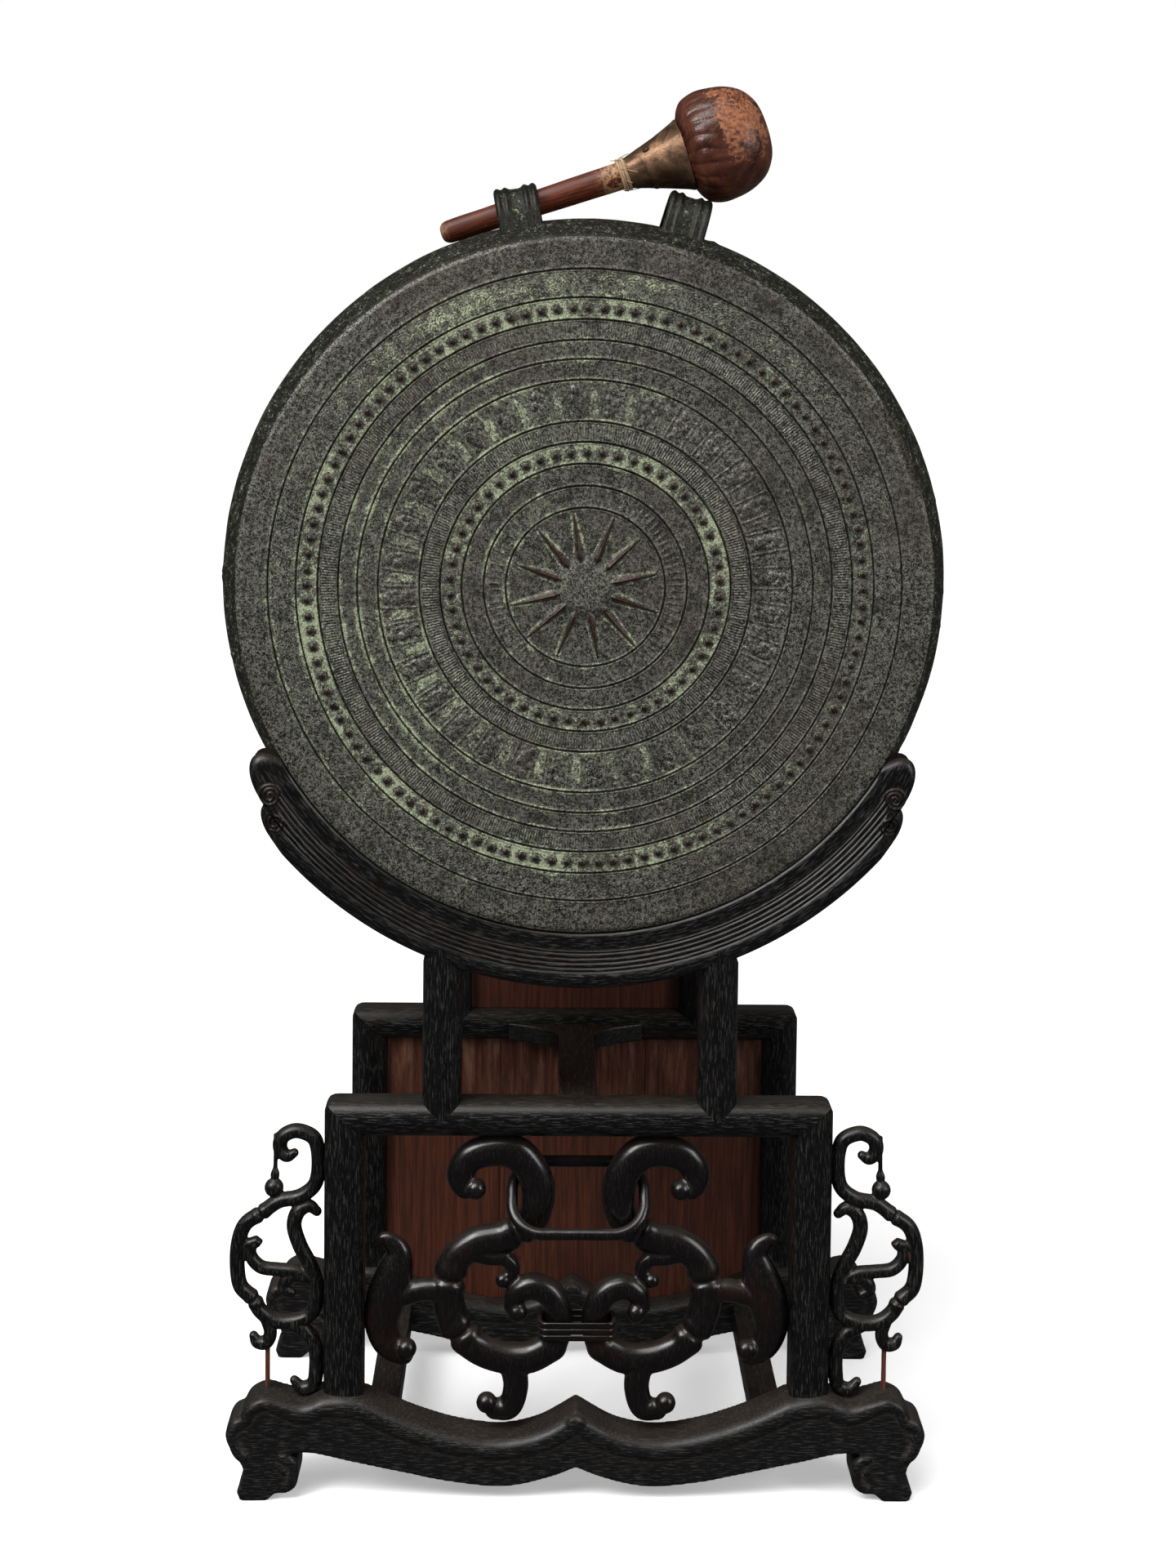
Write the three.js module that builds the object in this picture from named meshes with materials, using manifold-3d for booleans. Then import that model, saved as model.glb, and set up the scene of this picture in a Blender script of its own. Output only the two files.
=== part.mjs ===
// A bronze drum hung on its side as a gong in a hardwood stand, with its beater.
// Millimetres, +Z up, +X to the right, the drum's face towards -Y, the floor at Z = 0.
// Pieces are drawn with Y = 0 at the front frame's face, then centred over the footprint.

import * as THREE from "three";
import { mergeVertices } from "three/addons/utils/BufferGeometryUtils.js";
import Module from "manifold-3d";

const wasm = await Module();
wasm.setup();

// ---- Driving dimensions ----

const GAP = 0.3; // left between pieces that touch

const FRAME_DEPTH = 28; // front to back, of every frame member
const FRAME_SPACING = 232; // from the front frame's face to the rear frame's face
const FRAME_HALF = 183; // half the width over the stiles
const MEMBER = 28.6; // width of a stile
const ROUND_DEPTH = 11; // depth of the rounded front of a member
const RAIL_TOP = 289;
const RAIL_HEIGHT = 25;
const POST_X = 99;
const POST_WIDTH = 28;
const POST_MITRE_TOP = 403; // point of the post's upper mitre, carved into the cradle
const POST_MITRE_RISE = 12;
const FRAME_CORNER_R = 8;
const STILE_FOOT = 76.5; // front shoulder of the stiles on the base boards
const TENON = { width: 14, depth: 10, length: 28 };

const PANEL_BEHIND = [13, 21]; // the panels' faces, behind the rear frame's face
const LOWER_PANEL_BOTTOM = 40;
const UPPER_PANEL_TOP = 420; // before the cradle is cut from it
const RUNNER = { inner: 131.5, outer: 153.5, bottom: 27, top: 47 };
const STRETCHER = { half: 14, flare: 56, run: 40, bottom: 266, height: 14 };

const DRUM_Z = 661; // height of the drum's axis
const DRUM_FACE_Y = 4; // the face stands this far behind the front cradle's face
const FACE_R = 247;
const CHEST_R = 263.5;
const WAIST_R = 215;
const FOOT_R = 243.5;
const DRUM_LENGTH = 270;
const DRUM_WALL = 3.2;
const NECK = 9; // behind the face, where its rim meets the mantle
const DRUM_FACETS = 40;
const SEAT_GAP = 0.8; // between the drum and the wood it rests on

const HANDLE_R = 291; // top of a strap handle, from the drum's axis
const HANDLE_WIDTH = 30;
const HANDLE_STRAP = 4.5;
const HANDLE_ANGLES = { top_left: -10.7, top_right: 15.1, bottom_right: 169.3, bottom_left: 195.1 };

const CRADLE_DEPTH = 30;
const CRADLE_R = 287;
const CRADLE_INNER_R = 248;
const REAR_CRADLE_INNER_R = 222;
const CRADLE_FROM = 27.6; // horn tip, in degrees below the horizontal

const BASE_FRONT = -6;
const BASE_DEPTH = 34;

const CARVING_Y = 17; // mid-plane of the scrolls
const WING_Y = 15; // mid-plane of the wings
const BINDING = { half: 29, depth: 27, bottom: 114.5, top: 128.5 };
const PEG = { out: 40.8, r: 2.05, bottom: 70, top: 112 }; // out is measured from the stile
const FOOT_PEG = { out: 13, r: 2.6, bottom: 64, top: 78 };

const RING_WIDTH = 96; // between the middles of its side bars
const RING_BAR_R = 4.4;
const RING_CORNER_R = 23;
const RING_FRONT = [-1.6, 196.2]; // Y and Z of the front bar
const RING_BACK = [35.4, 236.4]; // Y and Z of the back bar

const BEATER_START = [-54, 929.7]; // X and Z where the stick passes under the left handle
const BEATER_Y = 75;
const BEATER_SLOPE = 18.7; // degrees
const STICK_R = 9.4;
const STICK_BACK = 56; // stick's length on the far side of the left handle
const STICK_END = 140;
const FERRULE_FROM = 88; // along the beater
const FERRULE_TO = 131;
const FERRULE_WALL = 1.2;
const HEAD_TO = 194;
const NAIL = { along: 105, radius: 17.4, r: 2, height: 1.8, lean: 18.2 }; // square to the ferrule's cone

// ---- Colours ----

const WOOD = { color: 0x17110f, roughness: 0.38, metalness: 0 };
const CARVED_WOOD = { color: 0x1f0f0c, roughness: 0.3, metalness: 0 };
const PANEL_WOOD = { color: 0x5a2c1a, roughness: 0.55, metalness: 0 };
const PEG_WOOD = { color: 0x6b2a18, roughness: 0.6, metalness: 0 };
const BRONZE = { color: 0x3f4a40, roughness: 0.6, metalness: 0.7 };
const STICK_WOOD = { color: 0x54200f, roughness: 0.4, metalness: 0 };
const FERRULE_METAL = { color: 0x6b5233, roughness: 0.5, metalness: 0.9 };
const LEATHER = { color: 0x6a2f1c, roughness: 0.5, metalness: 0 };
const WADDING = { color: 0xb9a27a, roughness: 0.9, metalness: 0 };
const TWINE = { color: 0xb08a55, roughness: 0.9, metalness: 0 };

// ---- Solids ----

// The closed solid of a three.js geometry, turned to face out.
function solid(geometry) {
  const bare = geometry.clone();
  bare.deleteAttribute("normal");
  bare.deleteAttribute("uv");
  const merged = mergeVertices(bare, 1e-3);
  const triVerts = new Uint32Array(merged.index.array);
  const make = () =>
    new wasm.Manifold(
      new wasm.Mesh({
        numProp: 3,
        vertProperties: merged.attributes.position.array,
        triVerts,
      }),
    );
  const made = make();
  if (made.volume() > 0) return made;
  triVerts.reverse();
  return make();
}

function geometryOf(shape) {
  const mesh = shape.getMesh();
  const geometry = new THREE.BufferGeometry();
  geometry.setAttribute("position", new THREE.BufferAttribute(mesh.vertProperties, 3));
  geometry.setIndex(new THREE.BufferAttribute(mesh.triVerts, 1));
  geometry.computeVertexNormals();
  return geometry;
}

function join(parts) {
  return parts.reduce((all, part) => all.add(part));
}

// An upright board: an outline of X and Z, from Y = y0 to Y = y1.
function board(outline, y0, y1, curveSegments = 6) {
  const shape = outline instanceof THREE.Shape ? outline : shapeOf(outline);
  const geometry = new THREE.ExtrudeGeometry(shape, {
    depth: y1 - y0,
    bevelEnabled: false,
    curveSegments,
  });
  return solid(geometry.rotateX(Math.PI / 2).translate(0, y1, 0));
}

function shapeOf(points) {
  return new THREE.Shape(points.map(([x, z]) => new THREE.Vector2(x, z)));
}

function box([x0, x1], [y0, y1], [z0, z1]) {
  const geometry = new THREE.BoxGeometry(x1 - x0, y1 - y0, z1 - z0);
  return solid(geometry.translate((x0 + x1) / 2, (y0 + y1) / 2, (z0 + z1) / 2));
}

// A section with a flat back and a round front, drawn with its front at zero.
function roundedSection(width, depth) {
  const half = width / 2;
  const section = new THREE.Shape();
  section.moveTo(half, depth);
  section.lineTo(-half, depth);
  section.lineTo(-half, ROUND_DEPTH);
  section.absellipse(0, ROUND_DEPTH, half, ROUND_DEPTH, Math.PI, 2 * Math.PI, false, 0);
  return section;
}

// A frame member of that section, upright, or lying along X.
function upright(x, width, z0, z1, y = 0) {
  const geometry = new THREE.ExtrudeGeometry(roundedSection(width, FRAME_DEPTH), {
    depth: z1 - z0,
    bevelEnabled: false,
    curveSegments: 8,
  });
  return solid(geometry.translate(x, y, z0));
}

function lying(x0, x1, z, height, y = 0) {
  const geometry = new THREE.ExtrudeGeometry(roundedSection(height, FRAME_DEPTH), {
    depth: x1 - x0,
    bevelEnabled: false,
    curveSegments: 8,
  });
  return solid(geometry.rotateY(Math.PI / 2).translate(x0, y, z));
}

// A carved stroke: a closed tube along a curve in the XZ plane, through points of X, Z and
// half-width. Its depth along Y is its half-width times the fullness.
function stroke(points, y, { steps = 16, sides = 8, fullness = 1 } = {}) {
  const curve = new THREE.CatmullRomCurve3(
    points.map(([x, z, r]) => new THREE.Vector3(x, z, r)),
    false,
    "centripetal",
  );
  const stations = curve.getPoints(steps).map((p, i) => {
    const t = curve.getTangent(i / steps);
    const length = Math.hypot(t.x, t.y);
    return { x: p.x, z: p.y, r: p.z, tx: t.x / length, tz: t.y / length };
  });
  const cap = (s, way) =>
    [0.5, 0.87].map((k) => ({
      ...s,
      x: s.x + way * k * s.r * s.tx,
      z: s.z + way * k * s.r * s.tz,
      r: s.r * Math.sqrt(1 - k * k),
    }));
  const first = stations[0];
  const last = stations[stations.length - 1];
  const rings = [...cap(first, -1).reverse(), ...stations, ...cap(last, 1)];
  const positions = [];
  for (const s of rings) {
    for (let i = 0; i < sides; i += 1) {
      const angle = (2 * Math.PI * i) / sides;
      const across = s.r * Math.cos(angle);
      positions.push(s.x - across * s.tz, y + s.r * fullness * Math.sin(angle), s.z + across * s.tx);
    }
  }
  const start = positions.length / 3;
  positions.push(first.x - first.r * first.tx, y, first.z - first.r * first.tz);
  positions.push(last.x + last.r * last.tx, y, last.z + last.r * last.tz);
  const index = [];
  for (let i = 0; i < sides; i += 1) {
    const next = (i + 1) % sides;
    for (let k = 0; k < rings.length - 1; k += 1) {
      const a = k * sides;
      const b = a + sides;
      index.push(a + i, a + next, b + i, b + i, a + next, b + next);
    }
    const end = (rings.length - 1) * sides;
    index.push(start, next, i, start + 1, end + i, end + next);
  }
  const geometry = new THREE.BufferGeometry();
  geometry.setAttribute("position", new THREE.Float32BufferAttribute(positions, 3));
  geometry.setIndex(index);
  return solid(geometry);
}

function ball(x, z, r, y) {
  return solid(new THREE.SphereGeometry(r, 8, 5).translate(x, y, z));
}

// A solid of revolution about the drum's axis, or about the beater's, from radius and distance.
function turned(profile, segments) {
  const points = profile.map(([r, along]) => new THREE.Vector2(r, along));
  return solid(new THREE.LatheGeometry(points, segments));
}

const object = new THREE.Group();

function add(name, shape, look, parent = object) {
  const geometry = shape instanceof THREE.BufferGeometry ? shape : geometryOf(shape);
  const mesh = new THREE.Mesh(geometry, new THREE.MeshStandardMaterial(look));
  mesh.name = name;
  parent.add(mesh);
  return mesh;
}

const mirrored = new THREE.Group();
mirrored.scale.x = -1;

// Adds a piece on the left and its mirror image on the right.
function addPair(name, shape, look) {
  add(`left_${name}`, shape, look);
  add(`right_${name}`, shape, look, mirrored);
}

// ---- Drum ----

// Outside of the drum as radius and distance behind the face: rim, bulging chest, waist and
// flared foot. It grows by the given amount for the seats cut in the wood.
function drumSide(grow = 0) {
  const side = new THREE.SplineCurve(
    [
      [FACE_R - 3.5, NECK],
      [CHEST_R - 9.5, 24],
      [CHEST_R, 49],
      [CHEST_R - 10, 80],
      [WAIST_R + 13, 116],
      [WAIST_R, 146],
      [WAIST_R + 1, 176],
      [WAIST_R + 9, 218],
      [FOOT_R - 5, 254],
    ].map(([r, along]) => new THREE.Vector2(r, along)),
  );
  return [
    [FACE_R + grow, 0],
    [FACE_R + grow, 5],
    ...side.getPoints(12).map((p) => [p.x + grow, p.y]),
    [FOOT_R + grow, 260],
    [FOOT_R + grow, DRUM_LENGTH],
  ];
}

function placeOnDrumAxis(shape) {
  return shape.translate([0, DRUM_FACE_Y, DRUM_Z]);
}

// The drum is one casting, held as two solids: the face with its rim, and the mantle behind it.
function drumFace() {
  const inner = FACE_R - 3.5 - DRUM_WALL;
  const profile = [
    [0, 0],
    [FACE_R, 0],
    [FACE_R, 5],
    [FACE_R - 3.5, NECK - GAP],
    [inner, NECK - GAP],
    [inner, DRUM_WALL],
    [0, DRUM_WALL],
  ];
  return placeOnDrumAxis(turned(profile, DRUM_FACETS));
}

function drumMantle() {
  const outside = drumSide().slice(2);
  const inside = outside.map(([r, along]) => [r - DRUM_WALL, along]).reverse();
  return placeOnDrumAxis(turned([...outside, ...inside, outside[0]], DRUM_FACETS));
}

// The space of the drum and its seat gap, open towards the front.
function drumSpace() {
  const outside = drumSide(SEAT_GAP);
  const profile = [[0, -40], [FACE_R + SEAT_GAP, -40], ...outside, [0, DRUM_LENGTH]];
  return placeOnDrumAxis(turned(profile, 72));
}

// A strap handle arches from the chest back to the waist, over its middle line of distance
// behind the face and radius.
function handle(angle) {
  const path = [
    [36, 259],
    [38, 275],
    [46, HANDLE_R - 5],
    [62, HANDLE_R],
    [84, HANDLE_R - 3],
    [108, HANDLE_R - 22],
    [124, 246],
    [131, 223],
  ];
  const outer = new THREE.SplineCurve(path.map(([along, r]) => new THREE.Vector2(along, r)));
  const outside = outer.getPoints(14);
  const inside = outside.map((p, i) => {
    const t = outer.getTangent(i / 14);
    return new THREE.Vector2(p.x + t.y * HANDLE_STRAP, p.y - t.x * HANDLE_STRAP);
  });
  const shape = new THREE.Shape([...outside, ...inside.reverse()]);
  const geometry = new THREE.ExtrudeGeometry(shape, { depth: HANDLE_WIDTH, bevelEnabled: false });
  // The outline's first axis becomes Y, its second Z, and the extrusion runs along X.
  const swap = new THREE.Matrix4().makeBasis(
    new THREE.Vector3(0, 1, 0),
    new THREE.Vector3(0, 0, 1),
    new THREE.Vector3(1, 0, 0),
  );
  geometry.applyMatrix4(swap).translate(-HANDLE_WIDTH / 2, 0, 0);
  geometry.rotateY(THREE.MathUtils.degToRad(angle));
  const clear = turned([[0, -1], ...drumSide(GAP), [0, DRUM_LENGTH + 1]], DRUM_FACETS);
  return placeOnDrumAxis(solid(geometry).subtract(clear));
}

// ---- Cradles and posts ----

function polar(r, below, side = 1) {
  const angle = THREE.MathUtils.degToRad(below);
  return [side * r * Math.cos(angle), DRUM_Z - r * Math.sin(angle)];
}

// A crescent with a rounded horn and two lobes at each end.
function cradleBlank(y, innerR, grow = 0) {
  const horn = [
    [innerR + 3, CRADLE_FROM + 1.2],
    [innerR + 6, CRADLE_FROM + 0.2],
    [innerR + 12, CRADLE_FROM],
    [CRADLE_R - 17, CRADLE_FROM + 0.8],
    [CRADLE_R - 13, CRADLE_FROM + 2.4],
    [CRADLE_R - 9, CRADLE_FROM + 5.4],
    [CRADLE_R - 8.5, CRADLE_FROM + 7.1],
    [CRADLE_R - 4, CRADLE_FROM + 7.8],
    [CRADLE_R - 1, CRADLE_FROM + 9.6],
  ];
  const outline = horn.map(([r, below]) => polar(r + grow, below));
  for (let below = 42; below < 139; below += 6) outline.push(polar(CRADLE_R + grow, below));
  outline.push(...horn.map(([r, below]) => polar(r + grow, below, -1)).reverse());
  for (let below = 150; below > 29; below -= 6) outline.push(polar(innerR, below));
  return board(outline, y, y + CRADLE_DEPTH);
}

// The pointed ends by which a post is mitred into the rounded fronts of its neighbours.
function postMitres(x, y, grow = 0) {
  const half = POST_WIDTH / 2 + grow;
  const pointGrow = grow * Math.SQRT2;
  const point = RAIL_TOP - RAIL_HEIGHT / 2 - pointGrow;
  const shoulder = POST_MITRE_TOP - POST_MITRE_RISE + grow;
  const outline = [
    [x - half, RAIL_TOP - grow],
    [x, point],
    [x + half, RAIL_TOP - grow],
    [x + half, shoulder],
    [x, POST_MITRE_TOP + pointGrow],
    [x - half, shoulder],
  ];
  return board(outline, y - 1 - grow, y + ROUND_DEPTH + grow);
}

function post(x, y, cradleClear) {
  const whole = upright(x, POST_WIDTH, RAIL_TOP - RAIL_HEIGHT, POST_MITRE_TOP + 4, y);
  const half = POST_WIDTH / 2 + 1;
  const top = POST_MITRE_TOP + 4;
  const straight = box([x - half, x + half], [y, y + FRAME_DEPTH + 1], [RAIL_TOP + GAP, top]);
  const body = whole.intersect(straight).subtract(cradleClear);
  return body.add(whole.intersect(postMitres(x, y)));
}

// ---- Frames ----

const RAIL_BOTTOM = RAIL_TOP - RAIL_HEIGHT;
const INNER_HALF = FRAME_HALF - MEMBER;

// Cuts rail from stile along the corner's diagonal, on the side of the rail or of the stile.
function mitreWedge(side, ofRail, y) {
  const overhang = 30;
  const gap = ofRail ? GAP / 2 : -GAP / 2;
  const inner = [side * (INNER_HALF - gap), RAIL_BOTTOM + gap];
  const slope = RAIL_HEIGHT / MEMBER;
  const outer = [side * (FRAME_HALF + overhang - gap), RAIL_TOP + overhang * slope + gap];
  const below = [side * (FRAME_HALF + overhang), RAIL_BOTTOM - overhang];
  const start = [side * (INNER_HALF - gap), RAIL_BOTTOM - overhang];
  return board([start, inner, outer, below], y - 1, y + FRAME_DEPTH + 1);
}

function frameOutline(y) {
  const r = FRAME_CORNER_R;
  const outline = new THREE.Shape();
  outline.moveTo(-FRAME_HALF, 0);
  outline.lineTo(-FRAME_HALF, RAIL_TOP - r);
  outline.absarc(-FRAME_HALF + r, RAIL_TOP - r, r, Math.PI, Math.PI / 2, true);
  outline.lineTo(FRAME_HALF - r, RAIL_TOP);
  outline.absarc(FRAME_HALF - r, RAIL_TOP - r, r, Math.PI / 2, 0, true);
  outline.lineTo(FRAME_HALF, 0);
  return board(outline, y - 1, y + FRAME_DEPTH + 1, 4);
}

function topRail(y) {
  const whole = lying(-FRAME_HALF, FRAME_HALF, (RAIL_TOP + RAIL_BOTTOM) / 2, RAIL_HEIGHT, y);
  const notches = [-1, 1].map((side) => postMitres(side * POST_X, y, GAP));
  const cut = join([mitreWedge(-1, true, y), mitreWedge(1, true, y), ...notches]);
  return whole.intersect(frameOutline(y)).subtract(cut);
}

function tenonAt(x, y, grow = 0) {
  const { width, depth, length } = TENON;
  const middle = y + FRAME_DEPTH / 2 + 2;
  const foot = STILE_FOOT - length - grow;
  return box(
    [x - width / 2 - grow, x + width / 2 + grow],
    [middle - depth / 2 - grow, middle + depth / 2 + grow],
    [foot, STILE_FOOT + 8],
  );
}

function leftStile(y, baseClear) {
  const x = -FRAME_HALF + MEMBER / 2;
  const whole = upright(x, MEMBER, 50, RAIL_TOP, y);
  const depth = [y - 1, y + FRAME_DEPTH + 1];
  const below = box([-FRAME_HALF - 1, -INNER_HALF + 1], depth, [0, RAIL_BOTTOM - 1]);
  const mitred = whole.intersect(frameOutline(y)).intersect(mitreWedge(-1, false, y).add(below));
  return mitred.subtract(baseClear).add(tenonAt(x, y));
}

// ---- Base boards ----

// Half of a base board's outline, from the cusp over the arch to the cusp under the top edge.
function baseOutline(grow = 0) {
  const under = new THREE.SplineCurve(
    [[0, 25], [18, 18], [50, 11], [89, 14], [124, 21], [160, 28.5], [194, 35.5], [208, 34]].map(
      ([x, z]) => new THREE.Vector2(x, z),
    ),
  );
  const foot = new THREE.SplineCurve(
    [[210, 31], [201, 29], [199.5, 21], [201, 11], [207, 6], [214, 5.5]].map(
      ([x, z]) => new THREE.Vector2(x, z),
    ),
  );
  const end = new THREE.SplineCurve(
    [[244, 6.5], [240, 13], [239.5, 24], [249, 38], [252, 50], [247.5, 59], [241, 62]].map(
      ([x, z]) => new THREE.Vector2(x, z),
    ),
  );
  const top = new THREE.SplineCurve(
    [[241, 63], [236, 71], [225, 76], [212, 73], [197, 70], [184, 75], [168, 76], [152, 73]].map(
      ([x, z]) => new THREE.Vector2(x, z + grow),
    ),
  );
  const sag = new THREE.SplineCurve(
    [[152, 73], [124, 60], [90, 49], [56, 44.5], [28, 50], [0, 65.5]].map(
      ([x, z]) => new THREE.Vector2(x, z + grow),
    ),
  );
  return [
    ...under.getPoints(9),
    ...foot.getPoints(6),
    new THREE.Vector2(218.5, 0),
    new THREE.Vector2(240, 0),
    ...end.getPoints(8),
    ...top.getPoints(9),
    ...sag.getPoints(8).slice(1),
  ];
}

function baseBoard(y, grow = 0) {
  const right = baseOutline(grow);
  const left = right.slice(1, -1).reverse().map((p) => new THREE.Vector2(-p.x, p.y));
  return board(new THREE.Shape([...right, ...left]), y, y + BASE_DEPTH);
}

// ---- Carving ----

// Points are X outwards from the middle, Z, and half-width.
function scrollHalf() {
  const y = CARVING_Y;
  const hook = [
    [72, 225, 5], [81, 222, 7.5], [85.5, 232, 10], [79, 245, 11], [63, 251, 12], [46.5, 249.5, 12.5],
    [35, 239, 12.2], [29, 223, 12.2], [30, 209, 11.6], [35, 197, 11], [54, 187, 11.4], [73, 182.5, 11.6],
    [87, 172, 11.6], [93, 157, 11.8], [93, 137, 11.8], [87, 120, 11.6], [73, 105, 11.4], [54, 97.5, 11.4],
    [35, 97.5, 11.6], [18, 106, 11.2],
  ];
  const inner = [
    [18, 106, 11], [13.2, 118, 9.6], [13.6, 133, 10], [20, 145, 10], [33, 150.5, 9.8], [44, 145, 8.6],
    [47.5, 136, 6],
  ];
  const leaf = [
    [146, 180, 1.6], [136, 183, 4.6], [129, 172, 7], [134, 155, 11], [142, 137, 12], [142, 118, 11.4],
    [134, 106, 8.4],
  ];
  const leg = [[46, 92, 9.6], [44, 75, 9.2], [49, 60.5, 8.8], [59, 59, 7.6]];
  const spur = [[70, 177, 6], [62, 170, 5], [52, 170.5, 4.6], [46.5, 164, 4.4], [51, 157.5, 5.6]];
  const strokes = [
    stroke(hook, y, { steps: 32, fullness: 0.84 }),
    stroke(inner, y, { steps: 11 }),
    stroke(leaf, y, { steps: 9, fullness: 0.9, sides: 7 }),
    stroke(leg, y, { steps: 5 }),
    stroke([[92, 148, 8.5], [111, 148, 8.5], [130, 143, 8.5]], y, { steps: 4 }),
    stroke(spur, y, { steps: 8, sides: 6 }),
    ball(126, 110, 7.6, y),
    ball(65, 65, 7.4, y),
    ball(75, 223, 6.6, y),
    ball(43, 135, 5.4, y),
  ];
  return join(strokes).mirror([1, 0, 0]);
}

function scrollBinding(grow = 0) {
  const half = BINDING.half + grow;
  const deep = BINDING.depth / 2 + grow;
  const height = [BINDING.bottom - grow, BINDING.top + grow];
  return box([-half, half], [CARVING_Y - deep, CARVING_Y + deep], height);
}

// Points are X outwards from the stile, Z, and half-width.
function leftWing() {
  const y = WING_Y;
  const strokes = [
    [[22, 249, 3], [27, 246.5, 4], [32, 252, 4.8], [31, 260, 4.9], [23, 265, 4.9], [16, 264.5, 4.9],
      [8, 260, 4.9], [5, 251, 4.9], [5, 233, 4.9], [8, 224.5, 4.9], [18, 217, 4.9], [33, 213.5, 4.9],
      [45, 205, 5], [57, 196.5, 5], [62, 183, 5], [62.5, 160, 5], [60, 150, 5], [51, 141, 5],
      [46.5, 133, 5], [37.5, 126, 5], [24.5, 124.5, 5], [10, 130, 5], [5.5, 140, 4.9], [5.2, 152, 4.6],
      [9.5, 165, 4.8], [18, 181.5, 5], [22, 196.5, 5], [18.5, 206.5, 5], [11, 210, 4.2], [5.5, 206, 3.2]],
    [[58, 181, 3.4], [48, 184, 3.6], [52.5, 180.5, 3.8], [53, 173, 4.2], [46, 165, 4.4], [33, 163, 4.4],
      [19.5, 161.5, 4.4], [10, 156, 4]],
    [[12, 157, 4], [22, 158.3, 4.2], [28.5, 154, 4.2], [29.3, 149, 4], [24, 146, 3.6]],
    [[42.5, 128, 4], [38.8, 116, 4.4], [42, 109, 4.6], [48.4, 109.5, 4.2], [51, 114, 3]],
    [[24.4, 124, 5], [12.8, 117, 5], [6.4, 105.5, 5], [5.6, 89, 5], [8, 78, 4.8], [16, 75.5, 4.4],
      [21.5, 81, 3]],
  ];
  const steps = [42, 8, 5, 6, 8];
  const carved = strokes.map((points, i) => stroke(points, y, { steps: steps[i], sides: 6, fullness: 1.15 }));
  const pendant = [
    stroke([[35.5, 262, 1.6], [35.5, 246, 1.6], [35.6, 238, 1.8]], y, { steps: 2, sides: 6 }),
    stroke([[35.6, 239, 1.4], [35.8, 233, 3.4], [36.4, 228, 2.2]], y, { steps: 4, sides: 6 }),
    ball(36.5, 223.5, 7, y),
  ];
  const outwards = join([...carved, ...pendant]);
  const stileClear = box([-40, GAP], [-2, FRAME_DEPTH + 2], [60, 300]);
  return outwards.subtract(stileClear).mirror([1, 0, 0]).translate([-FRAME_HALF, 0, 0]);
}

function peg(x, z0, z1, r, y) {
  const geometry = new THREE.CylinderGeometry(r, r, z1 - z0, 10);
  return solid(geometry.rotateX(Math.PI / 2).translate(x, y, (z0 + z1) / 2));
}

// ---- Ring ----

// An oblong ring of round bar, hung over both hooks and leaning back to rest on them.
function looseRing() {
  const rise = RING_BACK[1] - RING_FRONT[1];
  const run = RING_BACK[0] - RING_FRONT[0];
  const length = Math.hypot(rise, run);
  const halfWidth = RING_WIDTH / 2;
  const corner = RING_CORNER_R;
  const sides = [];
  const corners = [[1, 1], [-1, 1], [-1, -1], [1, -1]];
  corners.forEach(([sx, sz], i) => {
    const centre = new THREE.Vector3(sx * (halfWidth - corner), sz * (length / 2 - corner), 0);
    for (let k = 0; k <= 3; k += 1) {
      const angle = (Math.PI / 2) * (i + k / 3);
      const out = new THREE.Vector3(Math.cos(angle), Math.sin(angle), 0);
      sides.push(centre.clone().addScaledVector(out, corner));
    }
  });
  const around = 8;
  const positions = [];
  const index = [];
  const count = sides.length;
  sides.forEach((p, i) => {
    const before = sides[(i + count - 1) % count];
    const after = sides[(i + 1) % count];
    const t = after.clone().sub(before).normalize();
    const out = new THREE.Vector3(t.y, -t.x, 0);
    for (let k = 0; k < around; k += 1) {
      const angle = (2 * Math.PI * k) / around;
      const q = p.clone().addScaledVector(out, RING_BAR_R * Math.cos(angle));
      positions.push(q.x, q.y, RING_BAR_R * Math.sin(angle));
      const a = i * around;
      const b = ((i + 1) % count) * around;
      const next = (k + 1) % around;
      index.push(a + k, b + k, a + next, b + k, b + next, a + next);
    }
  });
  const geometry = new THREE.BufferGeometry();
  geometry.setAttribute("position", new THREE.Float32BufferAttribute(positions, 3));
  geometry.setIndex(index);
  geometry.rotateX(Math.atan2(rise, run));
  const middle = [(RING_FRONT[0] + RING_BACK[0]) / 2, (RING_FRONT[1] + RING_BACK[1]) / 2];
  return solid(geometry.translate(0, middle[0], middle[1]));
}

// ---- Beater ----

// The beater is turned about Y, then laid along its slope with its zero under the left handle.
function layBeater(shape) {
  return shape
    .rotate([0, 0, -90])
    .rotate([0, -BEATER_SLOPE, 0])
    .translate([BEATER_START[0], BEATER_Y, BEATER_START[1]]);
}

function beaterStick() {
  const profile = [
    [0, -STICK_BACK],
    [5.6, -STICK_BACK + 1],
    [8.2, -STICK_BACK + 4.5],
    [8.6, -STICK_BACK + 10],
    [STICK_R, 10],
    [10.4, FERRULE_FROM - 4],
    [10.6, STICK_END],
    [0, STICK_END],
  ];
  return layBeater(turned(profile, 14));
}

function beaterFerrule() {
  const cone = [[11.9, FERRULE_FROM], [15, 98], [19.6, 112], [25.8, FERRULE_TO - 3], [27.2, FERRULE_TO]];
  const inside = cone.map(([r, along]) => [r - FERRULE_WALL, along]).reverse();
  return layBeater(turned([...cone, ...inside, cone[0]], 18));
}

const HEAD = [
  [29.5, 133.4], [38, 140.5], [41.5, 150], [41, 160], [36.5, 174], [28, 185.5], [15, 192.5], [0, HEAD_TO],
];

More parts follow.
